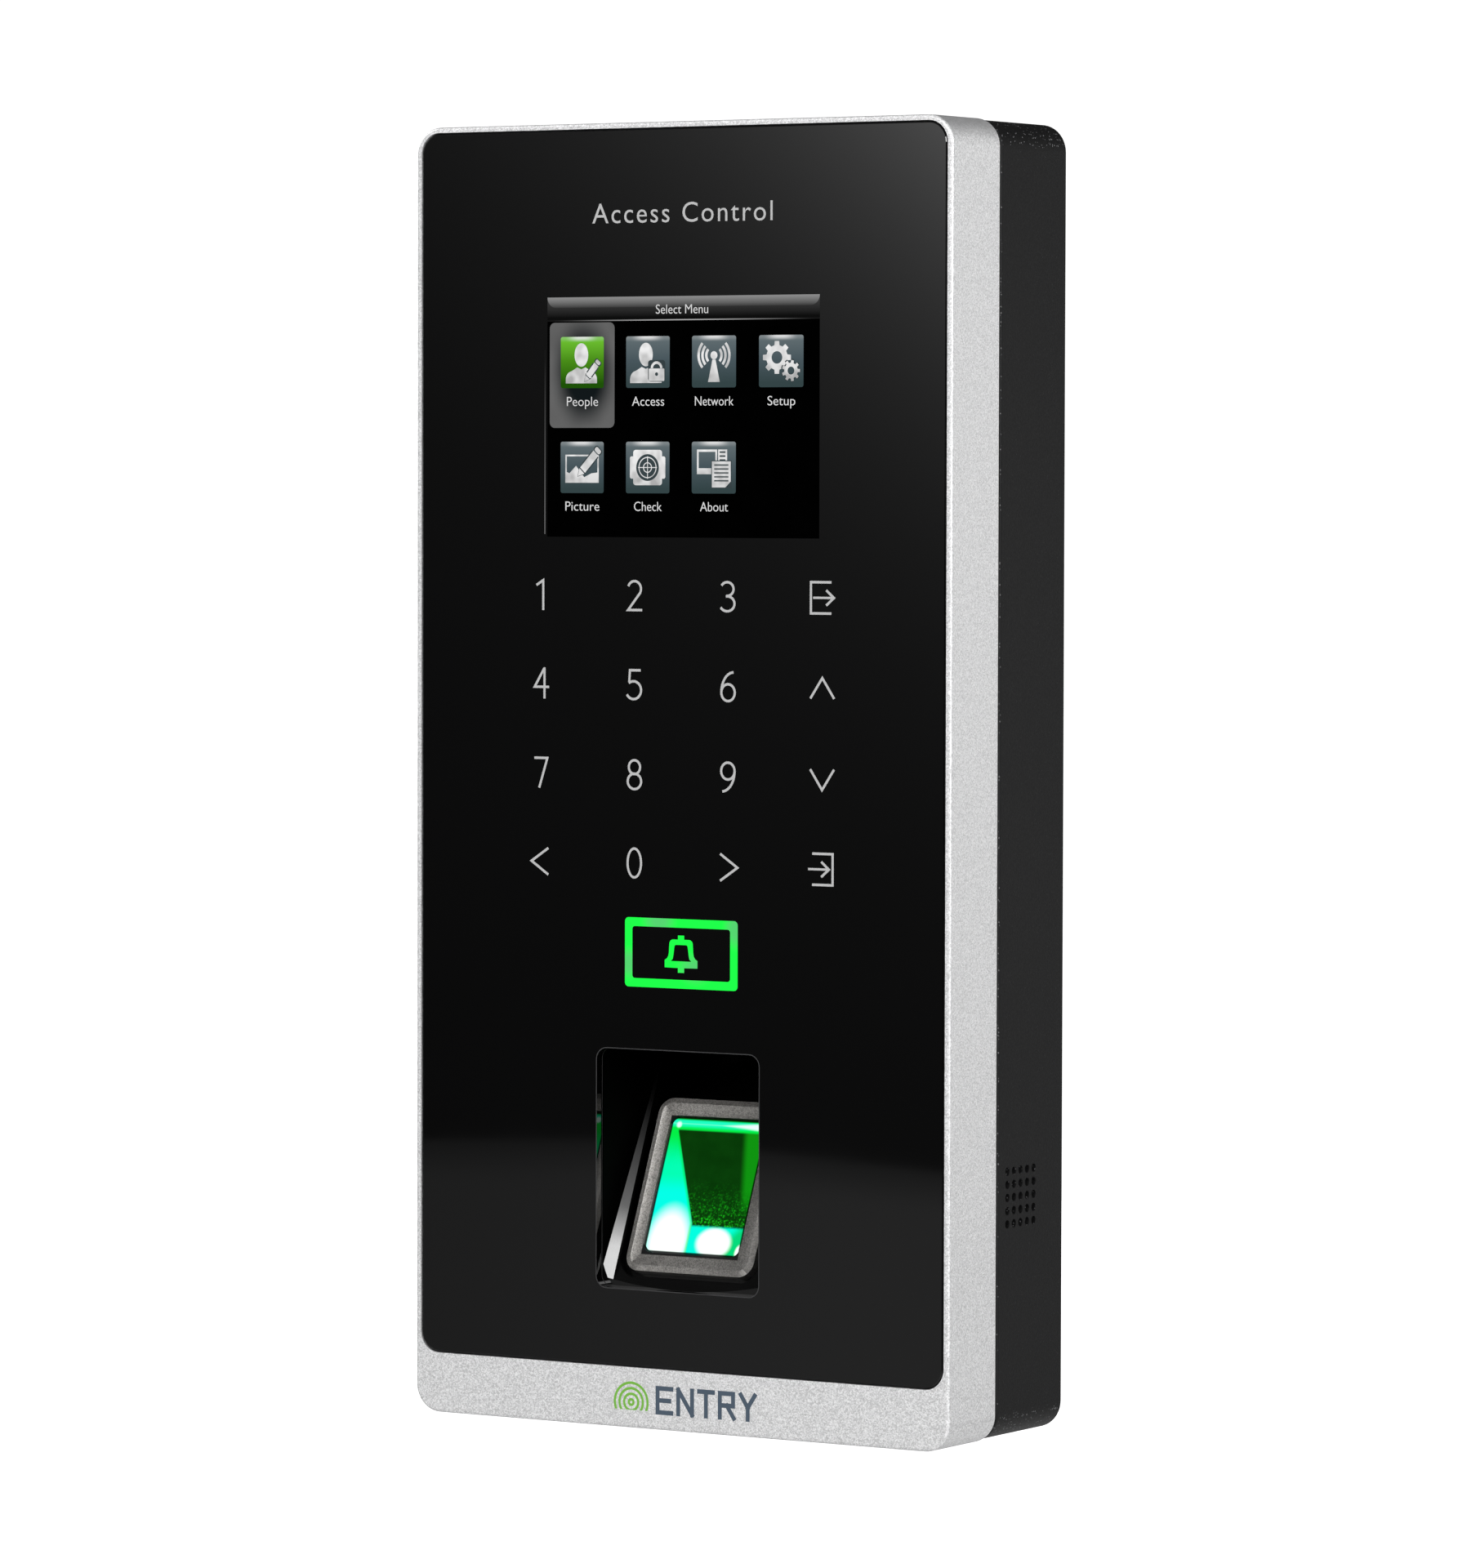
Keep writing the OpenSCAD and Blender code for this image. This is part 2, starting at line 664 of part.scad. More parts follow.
module prism_leds() stand() hung() color("aquamarine") on_seat()
    for (x = [-5.5, 0, 5.5]) translate([x - 1.4, light_board_y + thin_pcb_t, -6.2]) cube([2.8, 0.5, 1.6]);

module camera_barrel() stand() hung() color("#101010") on_seat()
    tube(3.6, lens_r + 0.05, chassis_back + slack, 4.4);

module camera_lens() stand() hung() color("lightblue") on_seat()
    translate([0, 0, chassis_back + 3.1]) cylinder(r = lens_r, h = 1);

module camera_board() stand() hung() color("darkgreen") on_seat()
    translate([-chassis_w / 2, chassis_low, chassis_back - 1.1])
        cube([chassis_w, chassis_high - chassis_low, 1.05]);

module image_sensor() stand() hung() color("slategray") on_seat()
    pad(3, 3, chassis_back, 0.8);

module scanner_ribbon() stand() hung() color("orange")
    ribbon([[-56.9, 7.6], [-45, 8], [-40, 10], [-38.4, 13], [-38.2, 17], [-37, 19.6], [-34, 20.4],
        [-29, 20.4]], 0, 10, 0.15);

// ---------- main board ----------

board_w = 76;
board_low = -36.8;
board_high = 90;
board_top = board_z + pcb_t;

module main_board() stand() hung() color("darkgreen") difference() {
    translate([-board_w / 2, board_low, board_z]) cube([board_w, board_high - board_low, pcb_t]);
    standoff_places() translate([0, 0, board_z - eps]) cylinder(r = 1.3, h = 2 * pcb_t);
}

module board_screws() stand() hung() color("silver")
    standoff_places() screw_down(1.05, 7, board_top);

module processor() stand() hung() color("#202020") translate([-6, 62, 0]) {
    pad(17, 17, board_top, 1.2);
    pad(12, 12, board_top + 1.2, 0.3);
}

module memory_chips() stand() hung() color("#262626") {
    for (x = [-26, -26], y = [70, 54]) translate([x, y, 0]) pad(11, 8, board_top, 1);
    translate([10, 78, 0]) pad(12, 9, board_top, 1);
}

module radio_module() stand() hung() color("lightgray") translate([18, 50, 0]) {
    pad(15, 20, board_top, 0.8);
    pad(13, 13, board_top + 0.8, 1.8);
}

module door_relay() stand() hung() color("#20508a") for (y = [-18, 2]) translate([24, y, 0])
    pad(15.4, 12, board_top, 9);

module capacitors() stand() hung() color("#33302c")
    for (place = [[4, -20], [4, -8], [-30, 38]]) translate([place[0], place[1], board_top]) {
        cylinder(r = 4, h = 9);
        translate([0, 0, 9]) cylinder(r = 3.4, h = 0.3);
    }

module buzzer() stand() hung() color("#161616") translate([28, 74, 0]) tube(6, 1, board_top, 6);

module cell_holder() stand() hung() color("#d8d8d0") translate([-24, -6, board_top]) difference() {
    cylinder(r = 11.4, h = 4);
    translate([0, 0, 1]) cylinder(r = 10.2, h = 4);
}

module backup_cell() stand() hung() color("silver") translate([-24, -6, board_top + 1]) {
    cylinder(r = 9.6, h = 2.2);
    cylinder(r = 10, h = 1.4);
}

module board_headers() stand() hung() color("ivory") {
    translate([4, 24, 0]) pad(24, 4, board_top, 2.4);
    translate([-22, 8, 0]) pad(10, 3.2, board_top, 2.4);
    translate([0, -29.5, 0]) pad(12, 3.6, board_top, 2.4);
    translate([35.4, -12, 0]) pad(4, 6, board_top, 2.4);
}

// ---------- wiring bay ----------

module network_jack() stand() hung() color("silver") translate([-22, 0, 0]) difference() {
    translate([-8, -7, board_z - 13.4]) cube([16, 15.5, 13.3]);
    translate([-5.9, -7 - eps, board_z - 10.4]) cube([11.8, 12.5, 7.6]);
    translate([-3, -7 - eps, board_z - 12.4]) cube([6, 12.5, 3]);
}

// A row of screw terminals with wire mouths facing down
module terminal_block(count) {
    pitch = 3.5;
    width = count * pitch;
    difference() {
        translate([-width / 2, 0, board_z - 9]) cube([width, 7.6, 8.9]);
        for (i = [0:count - 1]) translate([(i + 0.5) * pitch - width / 2, 0, 0]) {
            translate([0, -eps, board_z - 3.4]) rotate([-90, 0, 0]) cylinder(r = 1.25, h = 5, $fn = 32);
            translate([0, 3.8, board_z - 9 - eps]) cylinder(r = 1.35, h = 1.4, $fn = 32);
        }
    }
}

module power_terminals() stand() hung() color("#2f6f3a") translate([-2, 0.5, 0]) terminal_block(6);

module lock_terminals() stand() hung() color("#2f6f3a") translate([21.4, 0.5, 0]) terminal_block(6);

// ---------- speaker, ports and switches ----------

module speaker() stand() hung() color("#1a1a1a")
    translate([38.4, grille_y, grille_z]) rotate([0, 90, 0]) {
        pad(14, 28, 0, 3.6);
        difference() {
            slab(13, 26, 5, 3.6, 1.9);
            slab(11, 24, 4.4, 4.2, 4);
        }
        translate([0, 0, 3.6]) cylinder(r = 3, h = 1.6);
    }

module speaker_gasket() stand() hung() color("#2b2b2b")
    translate([43.95, grille_y, grille_z]) rotate([0, 90, 0]) difference() {
        slab(13.2, 27, 5, 0, 1.9);
        slab(11.2, 24.4, 4.4, -1, 5);
    }

module port_board() stand() hung() color("darkgreen") difference() {
    translate([-37.4, -96, port_board_z]) cube([25.2, 27, pcb_t]);
    port_screw_places() translate([0, 0, port_board_z - eps]) cylinder(r = 1.2, h = 2 * pcb_t);
}

module port_board_screws() stand() hung() color("silver")
    port_screw_places() screw_down(0.95, 6, port_board_z + pcb_t);

module usb_port() stand() hung() color("silver") translate([port_x, usb_mouth_y, port_z]) {
    difference() {
        translate([-usb_w / 2, 0, -usb_h / 2]) cube([usb_w, usb_l, usb_h]);
        translate([-usb_w / 2 + 0.95, -eps, -usb_h / 2 + 0.85])
            cube([usb_w - 1.9, usb_l - 2, usb_h - 1.7]);
    }
    translate([-5.5, 0.8, 0.5]) cube([11, usb_l - 2, 1.8]);
}

// The flap lies in its recess, and turns about the edge nearer the wall
module usb_cover() stand() hung() color("#1a1a1a") {
    bottom = -housing_h / 2;
    half_t = cover_t / 2;
    hinge_y = bottom + half_t;
    translate([port_x - cover_w / 2, bottom, cover_hinge_z]) cube([cover_w, cover_t, cover_h - half_t]);
    translate([port_x - cover_w / 2, hinge_y, cover_hinge_z]) rotate([0, 90, 0])
        cylinder(r = half_t, h = cover_w);
    translate([port_x - cover_plug_w / 2, bottom + half_t, port_z - cover_plug_h / 2])
        cube([cover_plug_w, half_t + cover_plug_l, cover_plug_h]);
}

module reset_switch() stand() hung() color("#303030") difference() {
    translate([reset_x - 2, -94.4, port_board_z - 3.6]) cube([4, 3.5, 3.5]);
    translate([reset_x, -95, reset_z]) rotate([-90, 0, 0]) cylinder(r = 1.15, h = 2.6);
}

module reset_button() stand() hung() color("tan")
    translate([reset_x, -96, reset_z]) rotate([-90, 0, 0]) cylinder(r = 1.1, h = 3.4 - reset_travel);

module tamper_switch() stand() hung() color("#303030") translate([tamper_x, tamper_y, 0]) difference() {
    pad(tamper_body, tamper_body, board_z - tamper_body_h - 0.1, tamper_body_h);
    translate([0, 0, board_z - tamper_body_h - 1]) cylinder(r = tamper_stem_r + 0.1, h = 3.4);
}

module tamper_plunger() stand() hung() color("ivory") translate([tamper_x, tamper_y, 0]) {
    translate([0, 0, tamper_tip_z])
        cylinder(r = tamper_stem_r, h = board_z - tamper_body_h + 0.4 - tamper_tip_z);
    translate([0, 0, tamper_collar_z]) cylinder(r = tamper_collar_r, h = 0.8);
}

// Compression spring between the plunger's collar and the switch body
module tamper_spring() stand() hung() color("silver") translate([tamper_x, tamper_y, 0]) {
    turns = 4;
    per_turn = 12;
    sides = 6;
    wire_r = 0.16;
    coil_r = 2.1;
    low = tamper_collar_z + 0.8 + wire_r;
    high = board_z - tamper_body_h - 0.1 - wire_r;
    steps = turns * per_turn;
    points = [for (i = [0:steps], k = [0:sides - 1])
        let (a = 360 * i / per_turn, b = 360 * k / sides, r = coil_r + wire_r * cos(b))
        [r * cos(a), r * sin(a), low + (high - low) * i / steps + wire_r * sin(b)]];
    around = [for (i = [0:steps - 1], k = [0:sides - 1])
        let (m = (k + 1) % sides)
        [i * sides + k, (i + 1) * sides + k, (i + 1) * sides + m, i * sides + m]];
    first = [for (k = [0:sides - 1]) k];
    last = [for (k = [sides - 1:-1:0]) steps * sides + k];
    polyhedron(points, concat(around, [first, last]));
}

// ---------- drawing ----------

wall_plate();
rear_housing();
housing_seal();
bay_seal();
housing_screws();
front_frame();
frame_inserts();
glass_tape();
glass_panel();
key_diffuser();
touch_board();
touch_chip();
key_leds();
bell_light_guide();
touch_ribbon();
lcd_gasket();
lcd_panel();
lcd_backlight();
lcd_ribbon();
card_antenna();
antenna_lead();
scanner_well();
well_screws();
scanner_bezel();
scanner_prism();
scanner_chassis();
chassis_screws();
prism_light_board();
prism_leds();
camera_barrel();
camera_lens();
camera_board();
image_sensor();
scanner_ribbon();
main_board();
board_screws();
processor();
memory_chips();
radio_module();
door_relay();
capacitors();
buzzer();
cell_holder();
backup_cell();
board_headers();
network_jack();
power_terminals();
lock_terminals();
speaker();
speaker_gasket();
port_board();
port_board_screws();
usb_port();
usb_cover();
reset_switch();
reset_button();
tamper_switch();
tamper_plunger();
tamper_spring();
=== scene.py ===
import json
import math

import bpy
import bmesh
from mathutils import Matrix, Vector, geometry


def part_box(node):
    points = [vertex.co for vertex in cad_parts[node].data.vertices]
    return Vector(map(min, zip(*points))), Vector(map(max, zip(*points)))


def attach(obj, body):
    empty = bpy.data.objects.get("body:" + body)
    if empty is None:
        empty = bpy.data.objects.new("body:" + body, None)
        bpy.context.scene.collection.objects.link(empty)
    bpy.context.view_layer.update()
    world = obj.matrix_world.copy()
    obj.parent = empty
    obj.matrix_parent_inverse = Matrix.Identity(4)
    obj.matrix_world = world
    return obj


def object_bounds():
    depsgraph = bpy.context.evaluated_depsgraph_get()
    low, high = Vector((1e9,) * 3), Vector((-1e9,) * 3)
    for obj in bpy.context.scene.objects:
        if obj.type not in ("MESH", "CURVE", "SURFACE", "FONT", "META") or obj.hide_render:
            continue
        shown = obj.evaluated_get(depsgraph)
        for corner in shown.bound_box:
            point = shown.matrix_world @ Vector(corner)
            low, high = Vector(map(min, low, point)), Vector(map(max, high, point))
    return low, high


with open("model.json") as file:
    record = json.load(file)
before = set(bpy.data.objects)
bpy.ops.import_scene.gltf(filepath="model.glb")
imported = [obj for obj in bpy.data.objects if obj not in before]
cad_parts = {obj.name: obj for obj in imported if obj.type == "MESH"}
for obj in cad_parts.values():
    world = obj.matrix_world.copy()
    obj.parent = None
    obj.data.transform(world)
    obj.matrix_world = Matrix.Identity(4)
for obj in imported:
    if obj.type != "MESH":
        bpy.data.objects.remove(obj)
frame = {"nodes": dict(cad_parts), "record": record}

MM = 0.001
cad_low, cad_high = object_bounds()
FRONT = cad_low.y                   # the silver frame's front plane
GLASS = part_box("glass_panel")[0].y  # the glass's front face, just behind it
LAYER = 0.008 * MM                  # printed and lit layers lie on the glass in steps of this
PRINT_X = 0.5                       # the printing is centred this far right of the case, in mm

# The finger seat's own axes: across is +X, up its slope, and out of it
SEAT = Vector((0, FRONT + 8.4 * MM, -63.1 * MM))
SEAT_LEAN = math.radians(23)
SEAT_UP = Vector((0, math.sin(SEAT_LEAN), math.cos(SEAT_LEAN)))
PRISM_HALF_W, PRISM_HALF_H = 8.5, 10.85  # in mm, as everything on the seat


# ---------- colours ----------

def linear(level):
    """One sRGB channel from 0 to 255 as a linear value."""
    c = level / 255
    return c / 12.92 if c <= 0.04045 else ((c + 0.055) / 1.055) ** 2.4


def rgb(r, g, b):
    return (linear(r), linear(g), linear(b), 1)


def grey(level):
    return rgb(level, level, level)


def add_object(name, data):
    made = bpy.data.objects.new(name, data)
    bpy.context.scene.collection.objects.link(made)
    return made


# ---------- material nodes ----------

class Nodes:
    """A node tree under construction. Values are sockets or constants, and results are output sockets."""

    def __init__(self, tree):
        self.tree = tree

    def node(self, kind, **settings):
        made = self.tree.nodes.new(kind)
        for key, value in settings.items():
            setattr(made, key, value)
        return made

    def feed(self, socket, value):
        if isinstance(value, bpy.types.NodeSocket):
            self.tree.links.new(value, socket)
        elif value is not None:
            socket.default_value = value

    def math(self, operation, a, b=None, c=None):
        made = self.node("ShaderNodeMath", operation=operation)
        for socket, value in zip(made.inputs, (a, b, c)):
            self.feed(socket, value)
        return made.outputs[0]

    def step(self, value, low, high, at_low=0.0, at_high=1.0):
        """A smooth step from at_low to at_high as value goes from low to high."""
        made = self.node("ShaderNodeMapRange", interpolation_type="SMOOTHSTEP")
        for socket, v in zip(made.inputs, (value, low, high, at_low, at_high)):
            self.feed(socket, v)
        return made.outputs[0]


class Shade(Nodes):
    """A material under construction."""

    def __init__(self, name, roughness=0.5, metallic=0.0, **sockets):
        self.material = bpy.data.materials.new(name)
        self.material.use_nodes = True
        super().__init__(self.material.node_tree)
        self.bsdf = self.tree.nodes["Principled BSDF"]
        self.set(Roughness=roughness, Metallic=metallic, **sockets)
        self.place = self.node("ShaderNodeTexCoord").outputs["Object"]

    def set(self, **sockets):
        for key, value in sockets.items():
            self.feed(self.bsdf.inputs[key.replace("_", " ")], value)

    def axis(self, index):
        """X, Y or Z of the surface point, in mm."""
        parts = self.node("ShaderNodeSeparateXYZ")
        self.feed(parts.inputs[0], self.place)
        return self.math("DIVIDE", parts.outputs[index], MM)

    def normal(self, index):
        """X, Y or Z of the surface's own direction."""
        parts = self.node("ShaderNodeSeparateXYZ")
        self.feed(parts.inputs[0], self.node("ShaderNodeTexCoord").outputs["Normal"])
        return parts.outputs[index]

    def length(self, x, y):
        """The distance of (x, y) from the origin."""
        square = self.math("ADD", self.math("MULTIPLY", x, x), self.math("MULTIPLY", y, y))
        return self.math("SQRT", square)

    def beyond(self, value, limit):
        """How far the size of value goes past the limit."""
        return self.math("SUBTRACT", self.math("ABSOLUTE", value), limit)

    def fold(self, value, pitch):
        """How far value lies from the middle of its repeat, as a share of the pitch: 0 to 0.5."""
        share = self.math("FRACT", self.math("DIVIDE", value, pitch))
        return self.math("ABSOLUTE", self.math("SUBTRACT", share, 0.5))

    def line(self, value, low, high, at_low=0.0, at_high=1.0):
        """A clamped straight line from at_low to at_high as value goes from low to high."""
        made = self.node("ShaderNodeMapRange")
        for socket, v in zip(made.inputs, (value, low, high, at_low, at_high)):
            self.feed(socket, v)
        return made.outputs[0]

    def mix(self, factor, a, b):
        """Colour a where factor is 0, and b where it is 1."""
        made = self.node("ShaderNodeMix", data_type="RGBA")
        self.feed(made.inputs["Factor"], factor)
        self.feed(made.inputs[6], a)
        self.feed(made.inputs[7], b)
        return made.outputs[2]

    def noise(self, size, detail=2.0, stretch=(1, 1, 1), rough=0.5):
        """Noise whose features are about `size` mm across."""
        mapping = self.node("ShaderNodeMapping")
        mapping.inputs["Scale"].default_value = [1 / (size * MM * s) for s in stretch]
        self.feed(mapping.inputs[0], self.place)
        made = self.node("ShaderNodeTexNoise")
        self.feed(made.inputs["Vector"], mapping.outputs[0])
        made.inputs["Scale"].default_value = 1
        made.inputs["Detail"].default_value = detail
        made.inputs["Roughness"].default_value = rough
        return made.outputs[0]

    def cells(self, size, output="Color"):
        """Random cells about `size` mm across: a random colour each, or the distance to the middle."""
        made = self.node("ShaderNodeTexVoronoi")
        self.feed(made.inputs["Vector"], self.place)
        made.inputs["Scale"].default_value = 1 / (size * MM)
        if output != "Color":
            return made.outputs[output]
        parts = self.node("ShaderNodeSeparateXYZ")
        self.feed(parts.inputs[0], made.outputs["Color"])
        return parts.outputs[0]

    def bump(self, height, depth, strength=1.0):
        """Presses `height`, from 0 to 1, into the surface by `depth` mm."""
        made = self.node("ShaderNodeBump")
        made.inputs["Strength"].default_value = strength
        made.inputs["Distance"].default_value = depth * MM
        self.feed(made.inputs["Height"], height)
        self.set(Normal=made.outputs[0])

    def segment(self, x, y, a, b, half):
        """1 within `half` of the line from a to b, along which its ends are square."""
        reach = math.dist(a, b)
        ux, uy = (b[0] - a[0]) / reach, (b[1] - a[1]) / reach
        along = self.math("MULTIPLY_ADD", x, ux, self.math("MULTIPLY_ADD", y, uy, -(a[0] * ux + a[1] * uy)))
        across = self.math("MULTIPLY_ADD", x, -uy, self.math("MULTIPLY_ADD", y, ux, a[0] * uy - a[1] * ux))
        over = self.beyond(self.math("SUBTRACT", along, reach / 2), reach / 2)
        far = self.math("MAXIMUM", self.math("ABSOLUTE", across), over)
        soft = 0.03
        return self.step(far, half - soft, half + soft, 1.0, 0.0)

    def spot(self, x, y, cx, cy, rx, ry, soft):
        """1 inside an ellipse, falling to 0 over the share `soft` of its radius."""
        dx = self.math("DIVIDE", self.math("SUBTRACT", x, cx), rx)
        dy = self.math("DIVIDE", self.math("SUBTRACT", y, cy), ry)
        return self.step(self.length(dx, dy), 1 - soft, 1 + soft, 1.0, 0.0)


def paint(name, dark, light, size, roughness, bump):
    """A plain finish: noise mixes two close colours, varies the roughness and dents the surface."""
    s = Shade(name)
    coarse = s.noise(size, 3)
    s.set(Base_Color=s.mix(coarse, dark, light))
    s.set(Roughness=s.line(s.noise(size * 3, 2), 0.3, 0.7, roughness * 0.88, roughness * 1.12))
    if bump:
        s.bump(s.noise(size * 0.6, 2), bump)
    return s


# the mark on the chin, in mm
EMBLEM_Z = -95.4
ARCS_X, ARCS_R, ARC_PITCH = -8.2, 3.4, 0.85
WORD_X, LETTER_W, LETTER_H, LETTER_STEP = -3.4, 2.5, 3.7, 3.75
LETTER_HALF_PEN = 0.36
LETTERS = {
    "E": [[(1, 1), (0, 1), (0, 0), (1, 0)], [(0, 0.5), (0.85, 0.5)]],
    "N": [[(0, 0), (0, 1), (1, 0), (1, 1)]],
    "T": [[(0, 1), (1, 1)], [(0.5, 1), (0.5, 0)]],
    "R": [[(0, 0), (0, 1), (0.95, 1), (0.95, 0.5), (0, 0.5)], [(0.5, 0.5), (1, 0)]],
    "Y": [[(0, 1), (0.5, 0.48), (1, 1)], [(0.5, 0.48), (0.5, 0)]],
}


def emblem_masks(s):
    """Masks of the print on the chin: four green arcs like a fingertip, and a word in pen strokes."""
    x, z = s.axis(0), s.axis(2)
    dx, dz = s.math("SUBTRACT", x, ARCS_X), s.math("SUBTRACT", z, EMBLEM_Z - 0.6)
    far = s.length(dx, dz)
    arcs = s.step(s.fold(far, ARC_PITCH), 0.2, 0.28, 1.0, 0.0)
    arcs = s.math("MULTIPLY", arcs, s.step(far, ARCS_R - 0.05, ARCS_R + 0.05, 1.0, 0.0))
    arcs = s.math("MULTIPLY", arcs, s.step(dz, -1.25, -1.15))
    word = None
    for i, letter in enumerate("ENTRY"):
        left = WORD_X + i * LETTER_STEP
        for path in LETTERS[letter]:
            places = [(left + px * LETTER_W, EMBLEM_Z + (py - 0.5) * LETTER_H) for px, py in path]
            for a, b in zip(places, places[1:]):
                piece = s.segment(x, z, a, b, LETTER_HALF_PEN)
                word = piece if word is None else s.math("MAXIMUM", word, piece)
    facing = s.step(s.normal(1), -0.95, -0.9, 1.0, 0.0)
    return s.math("MULTIPLY", arcs, facing), s.math("MULTIPLY", word, facing)


def silver_paint():
    """Sparkling silver with painted shade that darkens the faces that point up, and the mark printed on its
    front.
    """
    metallic = 0.35
    s = Shade("silver_paint", metallic=metallic)
    flake = s.cells(0.17)
    cloud = s.noise(0.36, 3)
    tone = s.math("ADD", s.math("MULTIPLY", flake, 0.6), s.math("MULTIPLY", cloud, 0.4))
    silver = s.mix(s.line(tone, 0.2, 0.8), (0.46, 0.46, 0.465, 1), (0.80, 0.80, 0.805, 1))
    arcs, word = emblem_masks(s)
    printed = s.mix(word, s.mix(arcs, silver, rgb(106, 166, 52)), rgb(60, 74, 88))
    # painted shade: faces that point up, and not to the front, get a darker colour
    upward_painted_shade = s.math("MULTIPLY", s.step(s.normal(2), 0.1, 0.8), s.step(s.normal(1), -0.75, -0.35))
    s.set(Base_Color=s.mix(s.math("MULTIPLY", upward_painted_shade, 0.6), printed, (0.17, 0.17, 0.175, 1)))
    ink = s.math("MAXIMUM", arcs, word)
    s.set(Metallic=s.math("MULTIPLY_ADD", ink, -metallic, metallic))
    s.set(Roughness=s.line(flake, 0, 1, 0.36, 0.52))
    s.bump(s.math("ADD", flake, s.noise(0.9, 2)), 0.003, 0.5)
    return s


def black_texture():
    """Fine-grained black with sparse pale flecks."""
    s = Shade("black_texture", Specular_IOR_Level=0.2)
    spark = s.noise(0.32, 3, rough=0.65)
    size = 0.3
    flake = s.step(s.cells(size), 0.78, 0.9)
    near = s.step(s.cells(size, "Distance"), 0.24, 0.42, 1.0, 0.0)
    fleck = s.math("MULTIPLY", flake, near)
    ground = s.mix(spark, (0.004, 0.004, 0.0042, 1), (0.009, 0.009, 0.0092, 1))
    s.set(Base_Color=s.mix(fleck, ground, (0.16, 0.16, 0.165, 1)))
    s.set(Roughness=s.line(spark, 0.3, 0.7, 0.5, 0.66))
    s.bump(spark, 0.05, 0.7)
    return s


def printed_glass():
    """Glass that is printed black on its back."""
    s = Shade("printed_glass", IOR=1.5)
    haze = s.noise(38, 4)
    s.set(Base_Color=s.mix(haze, (0.0004, 0.0004, 0.0004, 1), (0.0007, 0.0007, 0.0008, 1)))
    s.set(Roughness=s.line(haze, 0.35, 0.65, 0.012, 0.025))
    return s


def seat_place(s):
    """The point's place across the finger seat and up its slope, in mm."""
    shifted = s.node("ShaderNodeVectorMath", operation="SUBTRACT")
    s.feed(shifted.inputs[0], s.place)
    shifted.inputs[1].default_value = SEAT
    along = s.node("ShaderNodeVectorMath", operation="DOT_PRODUCT")
    s.feed(along.inputs[0], shifted.outputs[0])
    along.inputs[1].default_value = SEAT_UP
    return s.axis(0), s.math("DIVIDE", along.outputs["Value"], MM)


def piano_black():
    """Polished black that dulls up the slope and is dead black on the side walls. Up the slope the roughness
    rises and painted shade dims the reflection; the side walls get rougher, with a darker colour and almost
    no reflection as painted shade.
    """
    s = Shade("piano_black", IOR=1.5)
    haze = s.noise(9, 3)
    # painted shade: the side walls get a darker colour and, with full metal on that black, almost no
    # reflection
    shaded_side_wall = s.step(s.math("ABSOLUTE", s.normal(0)), 0.85, 0.95)
    polished = s.mix(haze, (0.001, 0.001, 0.001, 1), (0.002, 0.002, 0.002, 1))
    s.set(Base_Color=s.mix(shaded_side_wall, polished, (0.0004, 0.0004, 0.0004, 1)))
    up_slope = seat_place(s)[1]
    # painted shade: more metal on the black colour dims the reflection up the slope
    painted_shade_up_slope = s.math("ADD", s.line(up_slope, -10.5, -4.0, 0.0, 0.74), s.line(up_slope, -4.0, 8.0, 0.0, 0.22))
    s.set(Metallic=s.math("MAXIMUM", painted_shade_up_slope, shaded_side_wall))
    polish = s.math("ADD", s.line(haze, 0.3, 0.7, 0.08, 0.12), s.line(up_slope, -12.0, 14.0, 0.0, 0.16))
    s.set(Roughness=s.math("ADD", polish, s.math("MULTIPLY", shaded_side_wall, 0.5)))
    s.bump(s.noise(2.2, 2), 0.004, 0.35)
    return s


def bezel_paint():
    """Sparkling paint on a ring that dishes slightly towards the dark joint round the prism, with painted
    shade that darkens it towards its right and its lower side.
    """
    s = Shade("bezel_paint", metallic=0.6)
    flake = s.cells(0.15)
    tone = s.math("ADD", s.math("MULTIPLY", flake, 0.7), s.math("MULTIPLY", s.noise(0.5, 2), 0.3))
    u, v = seat_place(s)
    out = s.math("MAXIMUM", s.beyond(u, PRISM_HALF_W), s.beyond(s.math("ADD", v, 0.2), PRISM_HALF_H + 0.2))
    joint = s.step(out, 0.18, 0.32, 1.0, 0.0)
    # painted shade: the paint darkens towards the ring's right and its lower side
    shade = s.math("MULTIPLY", s.line(u, -11.0, 8.0, 1.0, 0.55), s.line(v, -12.0, 6.0, 0.72, 1.0))
    lit_paint = s.mix(tone, (0.1, 0.096, 0.09, 1), (0.44, 0.425, 0.4, 1))
    shaded = s.mix(shade, (0.03, 0.029, 0.028, 1), lit_paint)
    s.set(Base_Color=s.mix(joint, shaded, (0.004, 0.004, 0.004, 1)))
    s.set(Roughness=s.math("ADD", s.line(flake, 0, 1, 0.3, 0.45), s.math("MULTIPLY", joint, 0.4)))
    dish = s.math("MULTIPLY", s.math("MULTIPLY", out, out), 0.06)
    s.bump(s.math("ADD", s.math("MULTIPLY", flake, 0.005), dish), 1.0)
    return s


